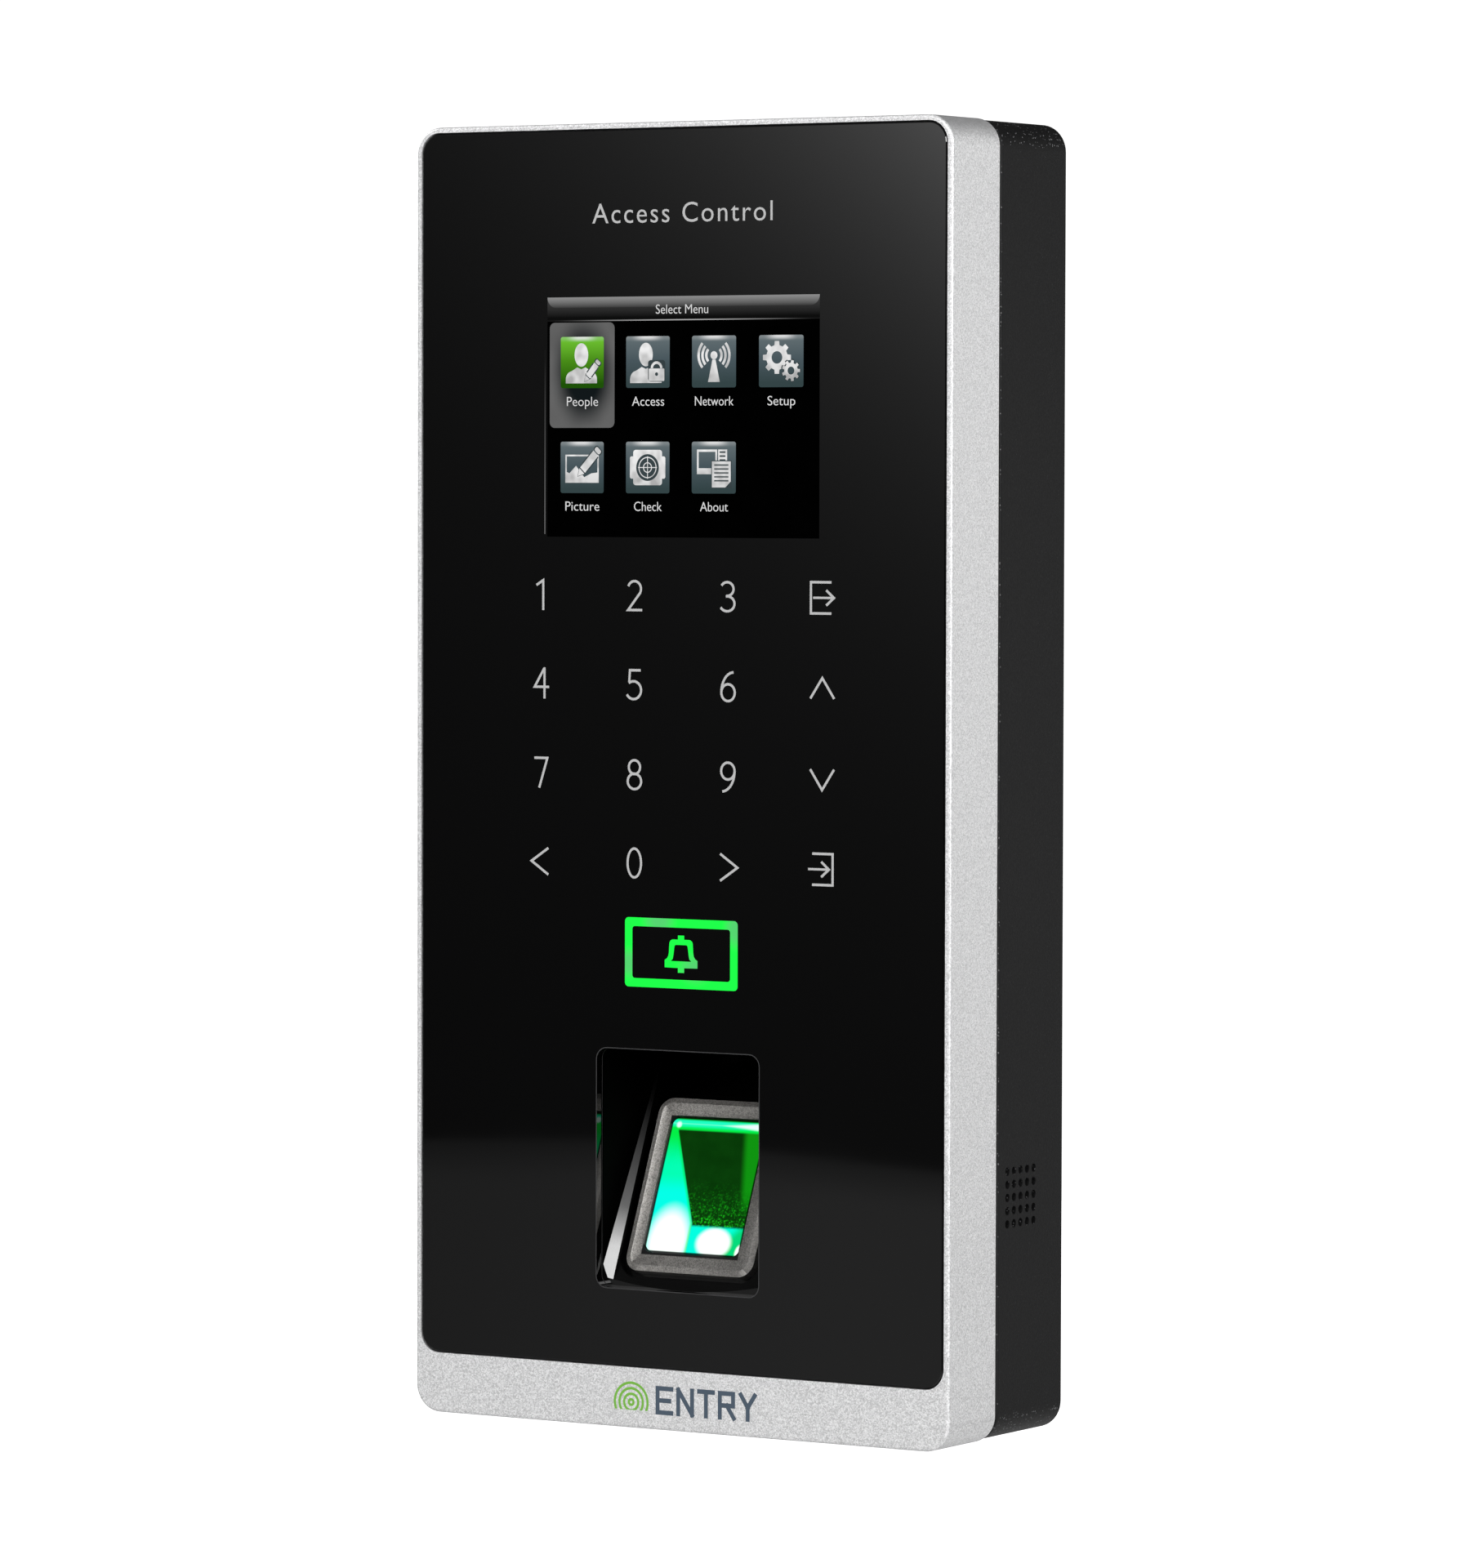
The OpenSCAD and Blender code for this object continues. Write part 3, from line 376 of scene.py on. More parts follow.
def prism_glass():
    """Green light floods the prism: bright along its edges and at the lamps, dark where a finger lies."""
    s = Shade("prism_glass", roughness=0.05, IOR=1.5, Specular_IOR_Level=0.15)
    u, v = seat_place(s)
    cloud = s.noise(2.6, 2)
    cyan, green, white = (0.0, 1.0, 0.46, 1), (0.0, 0.86, 0.06, 1), (1.15, 1.25, 1.2, 1)

    # dark middle, with a brighter band at its right and dust towards its lower end
    dark = s.mix(cloud, (0.0006, 0.026, 0.0004, 1), (0.0022, 0.05, 0.0015, 1))
    fold = s.math("SUBTRACT", u, s.line(v, 8.7, -2.0, 4.7, 6.6))
    band = s.math("MULTIPLY", s.step(fold, -0.3, 1.2), s.step(v, -5.0, 0.0))
    middle = s.mix(band, dark, (0.004, 0.29, 0.004, 1))
    low = s.line(v, 2.2, -6.4)
    grain = 0.34
    speck = s.math("MULTIPLY", s.step(s.cells(grain), 0.5, 0.8),
                   s.step(s.cells(grain, "Distance"), 0.3, 0.6, 1.0, 0.0))
    dust = s.math("MULTIPLY", s.math("ADD", speck, s.step(s.noise(0.45, 3, rough=0.7), 0.48, 0.72)),
                  s.math("MULTIPLY", low, low))
    middle = s.mix(s.math("MINIMUM", s.math("MULTIPLY", dust, 0.75), 1.0), middle, (0.012, 0.62, 0.012, 1))

    # the left wedge widens downwards and turns from green through cyan to white
    edge = s.line(v, 8.7, -6.0, -7.1, -1.0)
    inside = s.math("SUBTRACT", edge, u)
    wedge = s.step(inside, -0.18, 0.1)
    wedge_colour = s.mix(s.step(v, 8.5, 2.5), green, cyan)
    wedge_colour = s.mix(s.step(v, 2.0, -1.5), wedge_colour, (0.0, 1.05, 0.8, 1))
    glow = s.spot(u, v, -4.7, -9.3, 3.5, 5.2, 0.34)
    wedge_colour = s.mix(glow, wedge_colour, white)
    rim = s.step(inside, 0.12, 0.55, 1.0, 0.0)
    wedge_colour = s.mix(s.math("MULTIPLY", rim, 0.6), wedge_colour, green)
    colour = s.mix(wedge, middle, wedge_colour)

    # lower band with the lamps' hot spots
    low_band = s.math("MULTIPLY", s.step(v, -6.1, -6.7), s.step(inside, 0.2, -0.2))
    low_colour = s.mix(s.step(s.math("SUBTRACT", u, v), 12.5, 15.5),
                       (0.0, 1.05, 0.75, 1), (0.0, 0.7, 0.2, 1))
    low_colour = s.mix(s.spot(u, v, 3.6, -8.95, 3.0, 2.35, 0.2), low_colour, white)
    colour = s.mix(low_band, colour, low_colour)
    colour = s.mix(s.spot(u, v, 8.6, -10.3, 0.85, 1.3, 0.25), colour, white)

    # upper band, with a white streak that widens to the right, and the bright top left corner
    top = s.step(v, 8.75, 9.15)
    top_colour = s.mix(s.step(v, 9.1, 9.9), green, (0.012, 1.0, 0.55, 1))
    streak_v = 9.95
    streak = s.math("SUBTRACT", s.line(u, 0.5, 8.5, -0.1, 0.6),
                    s.math("ABSOLUTE", s.math("SUBTRACT", v, streak_v)))
    top_colour = s.mix(s.step(streak, -0.25, 0.25), top_colour, (0.85, 1.15, 1.0, 1))
    top_colour = s.mix(s.step(v, 10.35, 10.75), top_colour, (0.0, 0.55, 0.02, 1))
    colour = s.mix(top, colour, top_colour)
    colour = s.mix(s.spot(u, v, -7.2, 9.75, 0.42, 0.45, 0.5), colour, (0.8, 1.15, 1.0, 1))

    # the light dies out at the very edge, which has rounded corners
    corner = 0.95
    over_u = s.math("MAXIMUM", s.beyond(u, PRISM_HALF_W - corner), 0.0)
    over_v = s.math("MAXIMUM", s.beyond(v, PRISM_HALF_H - corner), 0.0)
    edge_light = s.step(s.length(over_u, over_v), corner - 0.28, corner - 0.04, 1.0, 0.03)
    s.set(Emission_Color=colour, Emission_Strength=edge_light)
    s.set(Base_Color=s.mix(cloud, (0.0005, 0.004, 0.001, 1), (0.001, 0.008, 0.002, 1)))
    return s


def lens_glass():
    """Dark coated glass."""
    s = Shade("lens_glass", roughness=0.03, IOR=1.55)
    s.set(Base_Color=s.mix(s.noise(1.5), (0.01, 0.012, 0.03, 1), (0.03, 0.02, 0.05, 1)))
    return s


def brushed(name, dark, light, roughness, stretch):
    """Metal with a fine grain, which runs along the axes of larger stretch."""
    s = Shade(name, metallic=1.0)
    grain = s.noise(0.18, 3, stretch)
    s.set(Base_Color=s.mix(grain, dark, light))
    s.set(Roughness=s.line(s.noise(4, 3), 0.3, 0.7, roughness * 0.8, roughness * 1.2))
    s.bump(grain, 0.003)
    return s


def galvanised_steel():
    """Zinc spangle with a rolled grain."""
    s = Shade("galvanised_steel", metallic=0.9)
    spangle = s.cells(3.2)
    grain = s.noise(0.25, 3, (1, 1, 12))
    tone = s.math("ADD", s.math("MULTIPLY", spangle, 0.6), s.math("MULTIPLY", grain, 0.4))
    s.set(Base_Color=s.mix(tone, (0.42, 0.43, 0.44, 1), (0.68, 0.69, 0.70, 1)))
    s.set(Roughness=s.line(tone, 0, 1, 0.32, 0.5))
    s.bump(grain, 0.004)
    return s


def black_tape():
    """Adhesive foam."""
    s = Shade("black_tape", roughness=0.9)
    foam = s.cells(0.35, "Distance")
    s.set(Base_Color=s.mix(foam, (0.008, 0.008, 0.008, 1), (0.02, 0.02, 0.02, 1)))
    s.bump(foam, 0.05)
    return s


def circuit_board():
    """Solder mask over fine tracks that run along and across, with plated dots."""
    s = Shade("circuit_board", roughness=0.32, IOR=1.5)
    x, y, pitch = s.axis(0), s.axis(2), 1.1
    block = s.cells(7.5)
    upright = s.step(block, 0.45, 0.55)
    fold = s.math("ADD", s.math("MULTIPLY", s.fold(x, pitch), upright),
                  s.math("MULTIPLY", s.fold(y, pitch), s.math("SUBTRACT", 1.0, upright)))
    track = s.step(fold, 0.13, 0.2, 1.0, 0.0)
    track = s.math("MULTIPLY", track, s.step(s.noise(6, 1), 0.42, 0.5))
    mask = s.mix(s.noise(3), (0.004, 0.05, 0.02, 1), (0.006, 0.075, 0.03, 1))
    board = s.mix(track, mask, (0.02, 0.16, 0.06, 1))
    spread = 2.6
    dot = s.math("MULTIPLY", s.step(s.cells(spread, "Distance"), 0.1, 0.14, 1.0, 0.0),
                 s.step(s.cells(spread), 0.5, 0.6))
    s.set(Base_Color=s.mix(dot, board, (0.75, 0.6, 0.3, 1)))
    s.bump(s.math("ADD", track, dot), 0.02)
    return s


def ribbon_film():
    """Amber film over a row of copper strips."""
    s = Shade("ribbon_film", roughness=0.3)
    strip = s.fold(s.axis(0), 0.5)
    s.set(Base_Color=s.mix(s.step(strip, 0.2, 0.3), (0.5, 0.19, 0.03, 1), (0.3, 0.11, 0.02, 1)))
    s.bump(strip, 0.01)
    return s


def led_package():
    """A lamp's pale body, faintly lit."""
    s = Shade("led_package", roughness=0.4)
    s.set(Base_Color=s.mix(s.noise(0.6), (0.78, 0.76, 0.66, 1), (0.86, 0.84, 0.78, 1)))
    s.set(Emission_Color=(0.3, 1.0, 0.6, 1), Emission_Strength=0.4)
    return s


def light_guide():
    """Milky plastic with green light in it."""
    s = Shade("light_guide", roughness=0.35, IOR=1.49)
    s.set(Base_Color=s.mix(s.noise(1.0), (0.45, 0.75, 0.52, 1), (0.6, 0.86, 0.66, 1)))
    s.set(Emission_Color=(0.02, 0.9, 0.2, 1), Emission_Strength=0.5)
    return s


# slots with a plain painted finish: dark colour, light colour, noise size in mm, roughness, dent in mm
PAINTS = {
    "seal_rubber": ((0.014, 0.014, 0.014, 1), (0.026, 0.026, 0.026, 1), 0.5, 0.7, 0.02),
    "white_film": ((0.74, 0.74, 0.71, 1), (0.84, 0.84, 0.81, 1), 2.0, 0.45, 0.004),
    "chip_black": ((0.02, 0.02, 0.021, 1), (0.034, 0.034, 0.036, 1), 0.3, 0.6, 0.01),
    "lead_jacket": ((0.03, 0.03, 0.03, 1), (0.06, 0.06, 0.06, 1), 1.0, 0.5, 0.01),
    "display_glass": ((0.006, 0.006, 0.008, 1), (0.012, 0.012, 0.014, 1), 6.0, 0.12, 0.0),
    "inner_black": ((0.012, 0.012, 0.012, 1), (0.024, 0.024, 0.024, 1), 0.4, 0.55, 0.015),
    "relay_blue": ((0.012, 0.06, 0.21, 1), (0.02, 0.085, 0.28, 1), 1.2, 0.4, 0.01),
    "capacitor_sleeve": ((0.02, 0.018, 0.016, 1), (0.04, 0.036, 0.032, 1), 1.5, 0.25, 0.006),
    "terminal_green": ((0.015, 0.14, 0.04, 1), (0.03, 0.2, 0.07, 1), 0.8, 0.42, 0.01),
}

# slots of brushed metal: dark colour, light colour, roughness, the grain's stretch along each axis
METALS = {
    "screw_steel": ((0.56, 0.56, 0.55, 1), (0.74, 0.74, 0.72, 1), 0.3, (1, 1, 1)),
    "insert_brass": ((0.62, 0.44, 0.16, 1), (0.8, 0.62, 0.28, 1), 0.3, (1, 8, 1)),
    "shield_tin": ((0.58, 0.58, 0.56, 1), (0.76, 0.76, 0.74, 1), 0.28, (10, 1, 1)),
}

SPECIAL = (silver_paint, black_texture, printed_glass, piano_black, bezel_paint, prism_glass, lens_glass,
           galvanised_steel, black_tape, light_guide, led_package, circuit_board, ribbon_film)


def finish_nodes():
    """Gives every CAD node the finish of its slot in the record."""
    made = {build.__name__: build().material for build in SPECIAL}
    made.update({slot: paint(slot, *values).material for slot, values in PAINTS.items()})
    made.update({slot: brushed(slot, *values).material for slot, values in METALS.items()})
    for part in frame["record"]["subparts"]:
        mesh = frame["nodes"][part["node"]].data
        mesh.materials.clear()
        mesh.materials.append(made[part["material_slot"]])


# ---------- flat solids on the glass ----------
# Points are (x, z) in mm: right of the case's centre line and above its mid-height.

def arc(cx, cy, r, start, end, steps, ry=None):
    """Points from the start angle to the end angle, in degrees."""
    ry = r if ry is None else ry
    turns = [math.radians(start + (end - start) * i / steps) for i in range(steps + 1)]
    return [(cx + r * math.cos(t), cy + ry * math.sin(t)) for t in turns]


def circle(cx, cy, r, steps, ry=None):
    """A circle, or an oval of half height ry."""
    return arc(cx, cy, r, 0, 360, steps, ry)[:-1]


def rounded(x0, y0, x1, y1, r, steps=6):
    """A box with round corners."""
    return (arc(x1 - r, y0 + r, r, -90, 0, steps) + arc(x1 - r, y1 - r, r, 0, 90, steps)
            + arc(x0 + r, y1 - r, r, 90, 180, steps) + arc(x0 + r, y0 + r, r, 180, 270, steps))


def box(x0, y0, x1, y1):
    return [(x0, y0), (x1, y0), (x1, y1), (x0, y1)]


def mirrored(points):
    """Left and right swapped."""
    return [(-x, y) for x, y in points]


def moved(points, dx, dy):
    return [(dx + x, dy + y) for x, y in points]


def turned(points, cx, cy, degrees):
    """Turned about (cx, cy)."""
    c, s = math.cos(math.radians(degrees)), math.sin(math.radians(degrees))
    return [(cx + c * (x - cx) - s * (y - cy), cy + s * (x - cx) + c * (y - cy)) for x, y in points]


def stroke(points, width):
    """The outline of a pen line of even width through the points, with mitred corners and flat ends."""
    half = width / 2
    left, right = [], []
    for i, p in enumerate(points):
        p = Vector(p)
        back = (p - Vector(points[i - 1])).normalized() if i else None
        on = (Vector(points[i + 1]) - p).normalized() if i < len(points) - 1 else None
        back, on = back or on, on or back
        mean = (back + on).normalized()
        normal = Vector((-mean.y, mean.x))
        reach = half / max(0.35, normal.dot(Vector((-back.y, back.x))))
        left.append(tuple(p + normal * reach))
        right.append(tuple(p - normal * reach))
    return left + right[::-1]


def area_of(loop):
    """Positive where the loop runs anticlockwise."""
    return sum(a[0] * b[1] - b[0] * a[1] for a, b in zip(loop, loop[1:] + loop[:1])) / 2


class Plates:
    """Collects thin closed solids that lie on the glass, and makes one mesh of them."""

    def __init__(self):
        self.verts, self.faces = [], []

    def put(self, points, layer):
        """Adds the points at the layer's front and just inside the glass; gives the first one's index."""
        start = len(self.verts)
        for y in (GLASS - layer * LAYER, GLASS + 0.25 * LAYER):
            self.verts += [(px * MM, y, pz * MM) for px, pz in points]
        return start

    def add(self, outer, *holes, layer=1):
        """One plate: its outline, its holes, and its layer."""
        loops = [outer if area_of(outer) > 0 else outer[::-1]]
        loops += [h if area_of(h) < 0 else h[::-1] for h in holes]
        flat = [p for loop in loops for p in loop]
        tris = geometry.tessellate_polygon([[Vector((x, y, 0)) for x, y in loop] for loop in loops])
        start, count = self.put(flat, layer), len(flat)
        for a, b, c in tris:
            turn = ((flat[b][0] - flat[a][0]) * (flat[c][1] - flat[a][1])
                    - (flat[c][0] - flat[a][0]) * (flat[b][1] - flat[a][1]))
            if abs(turn) < 1e-12:
                continue
            if turn < 0:
                b, c = c, b
            self.faces.append((start + a, start + b, start + c))
            self.faces.append((start + count + a, start + count + c, start + count + b))
        first = start
        for loop in loops:
            n = len(loop)
            for i in range(n):
                j = (i + 1) % n
                self.faces.append((first + i, first + count + i, first + count + j, first + j))
            first += n

    def make(self, name, material, slot):
        """One piece of all the plates, which rides the terminal."""
        mesh = bpy.data.meshes.new(name)
        mesh.from_pydata(self.verts, [], self.faces)
        bm = bmesh.new()
        bm.from_mesh(mesh)
        bmesh.ops.recalc_face_normals(bm, faces=bm.faces)
        bm.to_mesh(mesh)
        bm.free()
        mesh.materials.append(material)
        piece = add_object(name, mesh)
        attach(piece, "terminal")


def words(plates, text, x, base, cap, width, weight, layer, spacing=1.0):
    """Sets text about x: its baseline, its capitals' height, the width to fill, and its extra weight."""
    curve = bpy.data.curves.new("words", "FONT")
    curve.body = text
    curve.size = 1
    curve.resolution_u = 4
    curve.space_character = spacing
    curve.offset = weight
    carrier = add_object("words", curve)
    bpy.context.view_layer.update()
    mesh = carrier.to_mesh()
    cap_share = 0.729  # a capital's height in this font, for a size of 1
    scale_y = cap / cap_share
    low = min(v.co.x for v in mesh.vertices)
    high = max(v.co.x for v in mesh.vertices)
    scale_x = width / (high - low)
    shift = x - (low + high) / 2 * scale_x
    bm = bmesh.new()
    bm.from_mesh(mesh)
    bmesh.ops.remove_doubles(bm, verts=bm.verts, dist=1e-5)
    bmesh.ops.dissolve_degenerate(bm, edges=bm.edges, dist=1e-6)
    points = [(shift + v.co.x * scale_x, base + v.co.y * scale_y) for v in bm.verts]
    bm.verts.index_update()
    start, count = plates.put(points, layer), len(points)
    for face in bm.faces:
        corners = [v.index for v in face.verts]
        plates.faces.append(tuple(start + i for i in corners))
        plates.faces.append(tuple(start + count + i for i in reversed(corners)))
    for edge in bm.edges:
        if len(edge.link_faces) == 1:
            a, b = (v.index for v in edge.verts)
            plates.faces.append((start + a, start + b, start + count + b, start + count + a))
    bm.free()
    carrier.to_mesh_clear()
    bpy.data.objects.remove(carrier)
    bpy.data.curves.remove(curve)


# ---------- printing and lit keys ----------

OPENING = (29.3, 36.9, 1.8, -78.6)  # width, height, corner radius and lower edge of the finger opening
KEY_X = (-24.9, -7.86, 8.98, 25.6)  # middles of the keypad's columns and rows
KEY_Z = (27.83, 14.2, 0.43, -13.1)
DIGIT_H = 4.8
PEN = 0.38                          # the width of a pen line


def legend_ink():
    """Backlit grey ink."""
    s = Shade("legend_ink", roughness=0.6, Specular_IOR_Level=0.2)
    tone = s.noise(0.6, 2)
    s.set(Base_Color=s.mix(tone, grey(110), grey(120)))
    s.set(Emission_Color=s.mix(tone, grey(138), grey(150)), Emission_Strength=1.0)
    return s.material


def ring(cx, cy, rx, ry):
    """An oval pen line: its outline and its hole."""
    half = PEN / 2
    return circle(cx, cy, rx + half, 36, ry=ry + half), circle(cx, cy, rx - half, 36, ry=ry - half)


def six():
    """The digit 6: a bowl, and a stem that rises from its left side and leans over it."""
    return [ring(0, -0.93, 1.2, 1.28), (stroke(arc(1.05, -0.95, 2.25, 178, 92, 14, ry=3.12), PEN),)]


def digit_shapes(digit):
    """One digit in pen lines about its middle: an outline, and for a ring its hole, for each line."""
    top = DIGIT_H / 2
    rail = top - PEN / 2
    if digit == "0":
        return [ring(0, 0, 1.22, rail)]
    if digit == "1":
        return [(stroke([(-0.95, top - 0.95), (0.3, top - 0.2), (0.3, -top)], PEN),)]
    if digit == "2":
        bow = arc(-0.05, 1.02, 1.18, 160, -32, 16, ry=rail - 1.02)
        return [(stroke(bow + [(-1.2, -rail), (1.35, -rail)], PEN),)]
    if digit == "3":
        return [(stroke(arc(-0.2, 1.16, 1.15, 150, -95, 18, ry=rail - 1.16), PEN),),
                (stroke(arc(-0.2, -1.07, 1.32, 100, -150, 18, ry=rail - 1.07), PEN),)]
    if digit == "4":
        return [(stroke([(0.55, -top), (0.55, top)], PEN),),
                (stroke([(0.5, top - 0.15), (-1.25, -0.6), (1.4, -0.6)], PEN),)]
    if digit == "5":
        return [(stroke([(1.1, rail), (-0.85, rail), (-0.98, 0.35)], PEN),),
                (stroke(arc(-0.2, -0.84, 1.38, 128, -150, 18, ry=rail - 0.84), PEN),)]
    if digit == "6":
        return six()
    if digit == "7":
        return [(stroke([(-1.3, rail), (1.1, rail), (-0.4, -top)], PEN),)]
    if digit == "8":
        return [ring(0, 1.15, 1.02, rail - 1.15), ring(0, -1.03, 1.22, rail - 1.03)]
    return [tuple([(-x, -y) for x, y in loop] for loop in shape) for shape in six()]


def key_legends():
    """The digits, the signs on the other keys, and the line above the screen."""
    ink = legend_ink()
    digits = Plates()
    for z, line in zip(KEY_Z, ("123", "456", "789", " 0 ")):
        for x, digit in zip(KEY_X, line):
            if digit == " ":
                continue
            for i, shape in enumerate(digit_shapes(digit)):
                digits.add(*[moved(loop, x, z) for loop in shape], layer=2 + i)
    digits.make("key_digits", ink, "white_film")

    signs = Plates()

    def sign(shape, column, row, dx=0.0, dz=0.0, width=PEN, layer=2):
        signs.add(stroke(moved(shape, KEY_X[column] + dx, KEY_Z[row] + dz), width), layer=layer)

    wide, tall = 2.1, 1.55
    up = [(-wide, -tall), (0, tall), (wide, -tall)]
    sign(up, 3, 1, 0.1)
    sign([(x, -y) for x, y in up], 3, 2, 0.1)
    left = [(tall, 2.05), (-tall, 0), (tall, -2.05)]
    sign(left, 0, 3, -0.25, -0.2)
    sign(mirrored(left), 2, 3, 0.2, -0.2)
    # an arrow into a bracket, and one out of it
    bracket = [(1.8, -2.35), (-1.8, -2.35), (-1.8, 2.35), (1.8, 2.35)]
    head = [(0.75, 1.15), (2.1, 0), (0.75, -1.15)]
    shaft = PEN * 0.9
    sign(bracket, 3, 0, -0.15)
    sign(head, 3, 0)
    sign([(-1.55, 0), (1.9, 0)], 3, 0, width=shaft, layer=3)
    sign(mirrored(bracket), 3, 3, 0.2)
    sign(head, 3, 3, -0.75)
    sign([(-2.3, 0), (1.15, 0)], 3, 3, width=shaft, layer=3)
    signs.make("key_signs", ink, "white_film")

    title = Plates()
    words(title, "Access Control", PRINT_X, 84.7, 3.2, width=32.4, weight=-0.002, layer=2, spacing=1.15)
    title.make("title_line", ink, "white_film")


def opening_edge():
    """The bright arris round the finger opening."""
    w, h, r, low = OPENING
    edge = Plates()
    edge.add(rounded(-w / 2 - 0.13, low - 0.13, w / 2 + 0.13, low + h + 0.13, r + 0.13, 10),
             rounded(-w / 2 + 0.01, low + 0.01, w / 2 - 0.01, low + h - 0.01, r, 10), layer=1)
    s = Shade("arris", roughness=0.35)
    s.set(Base_Color=s.mix(s.noise(6), (0.014, 0.014, 0.015, 1), (0.035, 0.035, 0.036, 1)))
    edge.make("opening_edge", s.material, "printed_glass")


def bell_light(cx, cy):
    """Green light, paler where the lamp behind doesn't reach."""
    s = Shade("bell_light", roughness=0.5, Specular_IOR_Level=0.2)
    x, y = s.axis(0), s.axis(2)
    pale = None
    for dx, dy, rx, ry in ((-4.0, 4.9, 2.2, 1.6), (9.8, 4.0, 1.6, 2.2), (-9.5, -1.7, 1.3, 1.8),
                           (2.6, -2.2, 2.4, 1.8)):
        spot = s.spot(x, y, cx + dx, cy + dy, rx, ry, 0.7)
        pale = spot if pale is None else s.math("MAXIMUM", pale, spot)
    pale = s.math("MULTIPLY", pale, 0.75)
    s.set(Emission_Color=s.mix(pale, rgb(5, 253, 64), rgb(92, 190, 118)), Emission_Strength=1.0)
    s.set(Base_Color=s.mix(s.noise(1.0), (0.0, 0.02, 0.004, 1), (0.0, 0.03, 0.006, 1)))
    return s.material


def bell_key():
    """The lit key's border and the bell in it."""
    cx, cy = 0.64, -26.745
    half_w, half_h, border = 10.16, 5.32, 1.34
    plate = Plates()
    in_w, in_h = half_w - border, half_h - border
    plate.add(rounded(cx - half_w, cy - half_h, cx + half_w, cy + half_h, 0.65),
              rounded(cx - in_w, cy - in_h, cx + in_w, cy + in_h, 0.45), layer=2)
    # bell: dome, flared skirt, a stub on top and the clapper below
    side = [(2.95, -2.1), (2.95, -0.95), (2.55, -0.7), (2.3, -0.3), (2.2, 0.2), (2.12, 1.45)]
    shoulder = arc(1.42, 1.52, 0.7, 0, 90, 6)
    half = side + shoulder + [(0.56, 2.22), (0.56, 2.85)]
    clapper = [(-0.56, -2.13), (-0.56, -2.85), (0.56, -2.85), (0.56, -2.13)]
    outer = half + mirrored(reversed(half)) + clapper
    inner_side = [(1.85, -1.1), (1.5, -0.75), (1.38, -0.2), (1.2, 1.1)]
    inner_top = arc(0.9, 1.12, 0.28, 20, 90, 4)
    inner_half = inner_side + inner_top
    inner = inner_half + mirrored(reversed(inner_half))
    plate.add(moved(outer, cx, cy - 0.05), moved(inner, cx, cy - 0.05), layer=2)
    plate.make("bell_key_print", bell_light(cx, cy), "light_guide")


# ---------- screen ----------

SCREEN = (-23.88, 36.74, 25.08, 73.46)  # left, lower, right and upper edge
BAR_LOW, GLOSS_H = 69.95, 1.6           # the title bar's lower edge, and the height of its gloss
TILE = 7.86                             # the size of a tile
TILE_X = (-21.42, -9.49, 2.41, 14.37)   # left edges
TILE_Z = (59.54, 43.46)                 # lower edges of the two rows
PITCH_X = 11.94
PITCH_Z = TILE_Z[0] - TILE_Z[1]
LABEL_Z = (56.8, 40.75)                 # baselines of the labels in the two rows
LABELS = (("People", 5.7), ("Access", 5.8), ("Network", 6.9), ("Setup", 4.9),
          ("Picture", 6.2), ("Check", 5.0), ("About", 5.0))  # each with its width


def lit(name, colour_of):
    """A lit, non-reflecting screen colour: colour_of(shade) gives its colour socket."""
    s = Shade(name, roughness=1.0, Specular_IOR_Level=0.0)
    s.set(Emission_Color=colour_of(s), Emission_Strength=1.0)
    s.set(Base_Color=(0, 0, 0, 1))
    return s.material


def tile_place(s):
    """The point's place within its tile: x from -1 to 1, and height from 0 to 1."""
    column = s.math("FLOORED_MODULO", s.math("SUBTRACT", s.axis(0), TILE_X[0] - 0.1), PITCH_X)
    across = s.math("SUBTRACT", s.math("DIVIDE", column, TILE / 2), 1.0)
    row = s.math("FLOORED_MODULO", s.math("SUBTRACT", s.axis(2), TILE_Z[1] - 0.1), PITCH_Z)
    return across, s.math("DIVIDE", row, TILE)


def tile_colour(low, mid, high):
    """A tile's colours from its foot to its head, with a gloss at its upper edge."""
    def colour(s):
        across, height = tile_place(s)
        base = s.mix(s.line(height, 0.1, 0.55), low, mid)
        base = s.mix(s.line(height, 0.55, 0.95), base, high)
        gloss = s.math("MULTIPLY", s.step(height, 0.9, 1.0),
                       s.step(s.math("ABSOLUTE", across), 0.1, 0.8, 1.0, 0.15))
        return s.mix(s.math("MULTIPLY", gloss, 0.85), base, grey(235))
    return colour


def icon_colour(s):
    """Pale metal, lighter towards its upper edge."""
    rise = s.line(tile_place(s)[1], 0.1, 0.9)
    sheen = s.line(s.noise(2.0, 1), 0.36, 0.6)
    return s.mix(sheen, s.mix(rise, grey(168), grey(206)), s.mix(rise, grey(214), grey(244)))


def person(cx, cy):
    """A head and shoulders."""
    head = circle(cx, cy + 1.15, 1.25, 28, ry=1.8)
    body = ([(cx - 2.85, cy - 3.2), (cx + 2.85, cy - 3.2)] + arc(cx + 1.55, cy - 2.6, 1.3, 0, 80, 6)
            + [(cx + 0.75, cy - 0.75), (cx, cy - 1.05), (cx - 0.75, cy - 0.75)]
            + arc(cx - 1.55, cy - 2.6, 1.3, 100, 180, 6))
    return head, body


def pencil(cx, cy, length, width, angle):
    """The parts of a slanting pencil: tip, wood, barrel and end."""
    half = width / 2
    reach = length / 2
    parts = [
        [(cx - reach, cy), (cx - reach + width * 0.9, cy - half), (cx - reach + width * 0.9, cy + half)],
        box(cx - reach + width * 1.05, cy - half, cx + reach - width * 0.75, cy + half),
        rounded(cx + reach - width * 0.6, cy - half, cx + reach, cy + half, half * 0.45, 4),
    ]
    return [turned(p, cx, cy, angle) for p in parts]


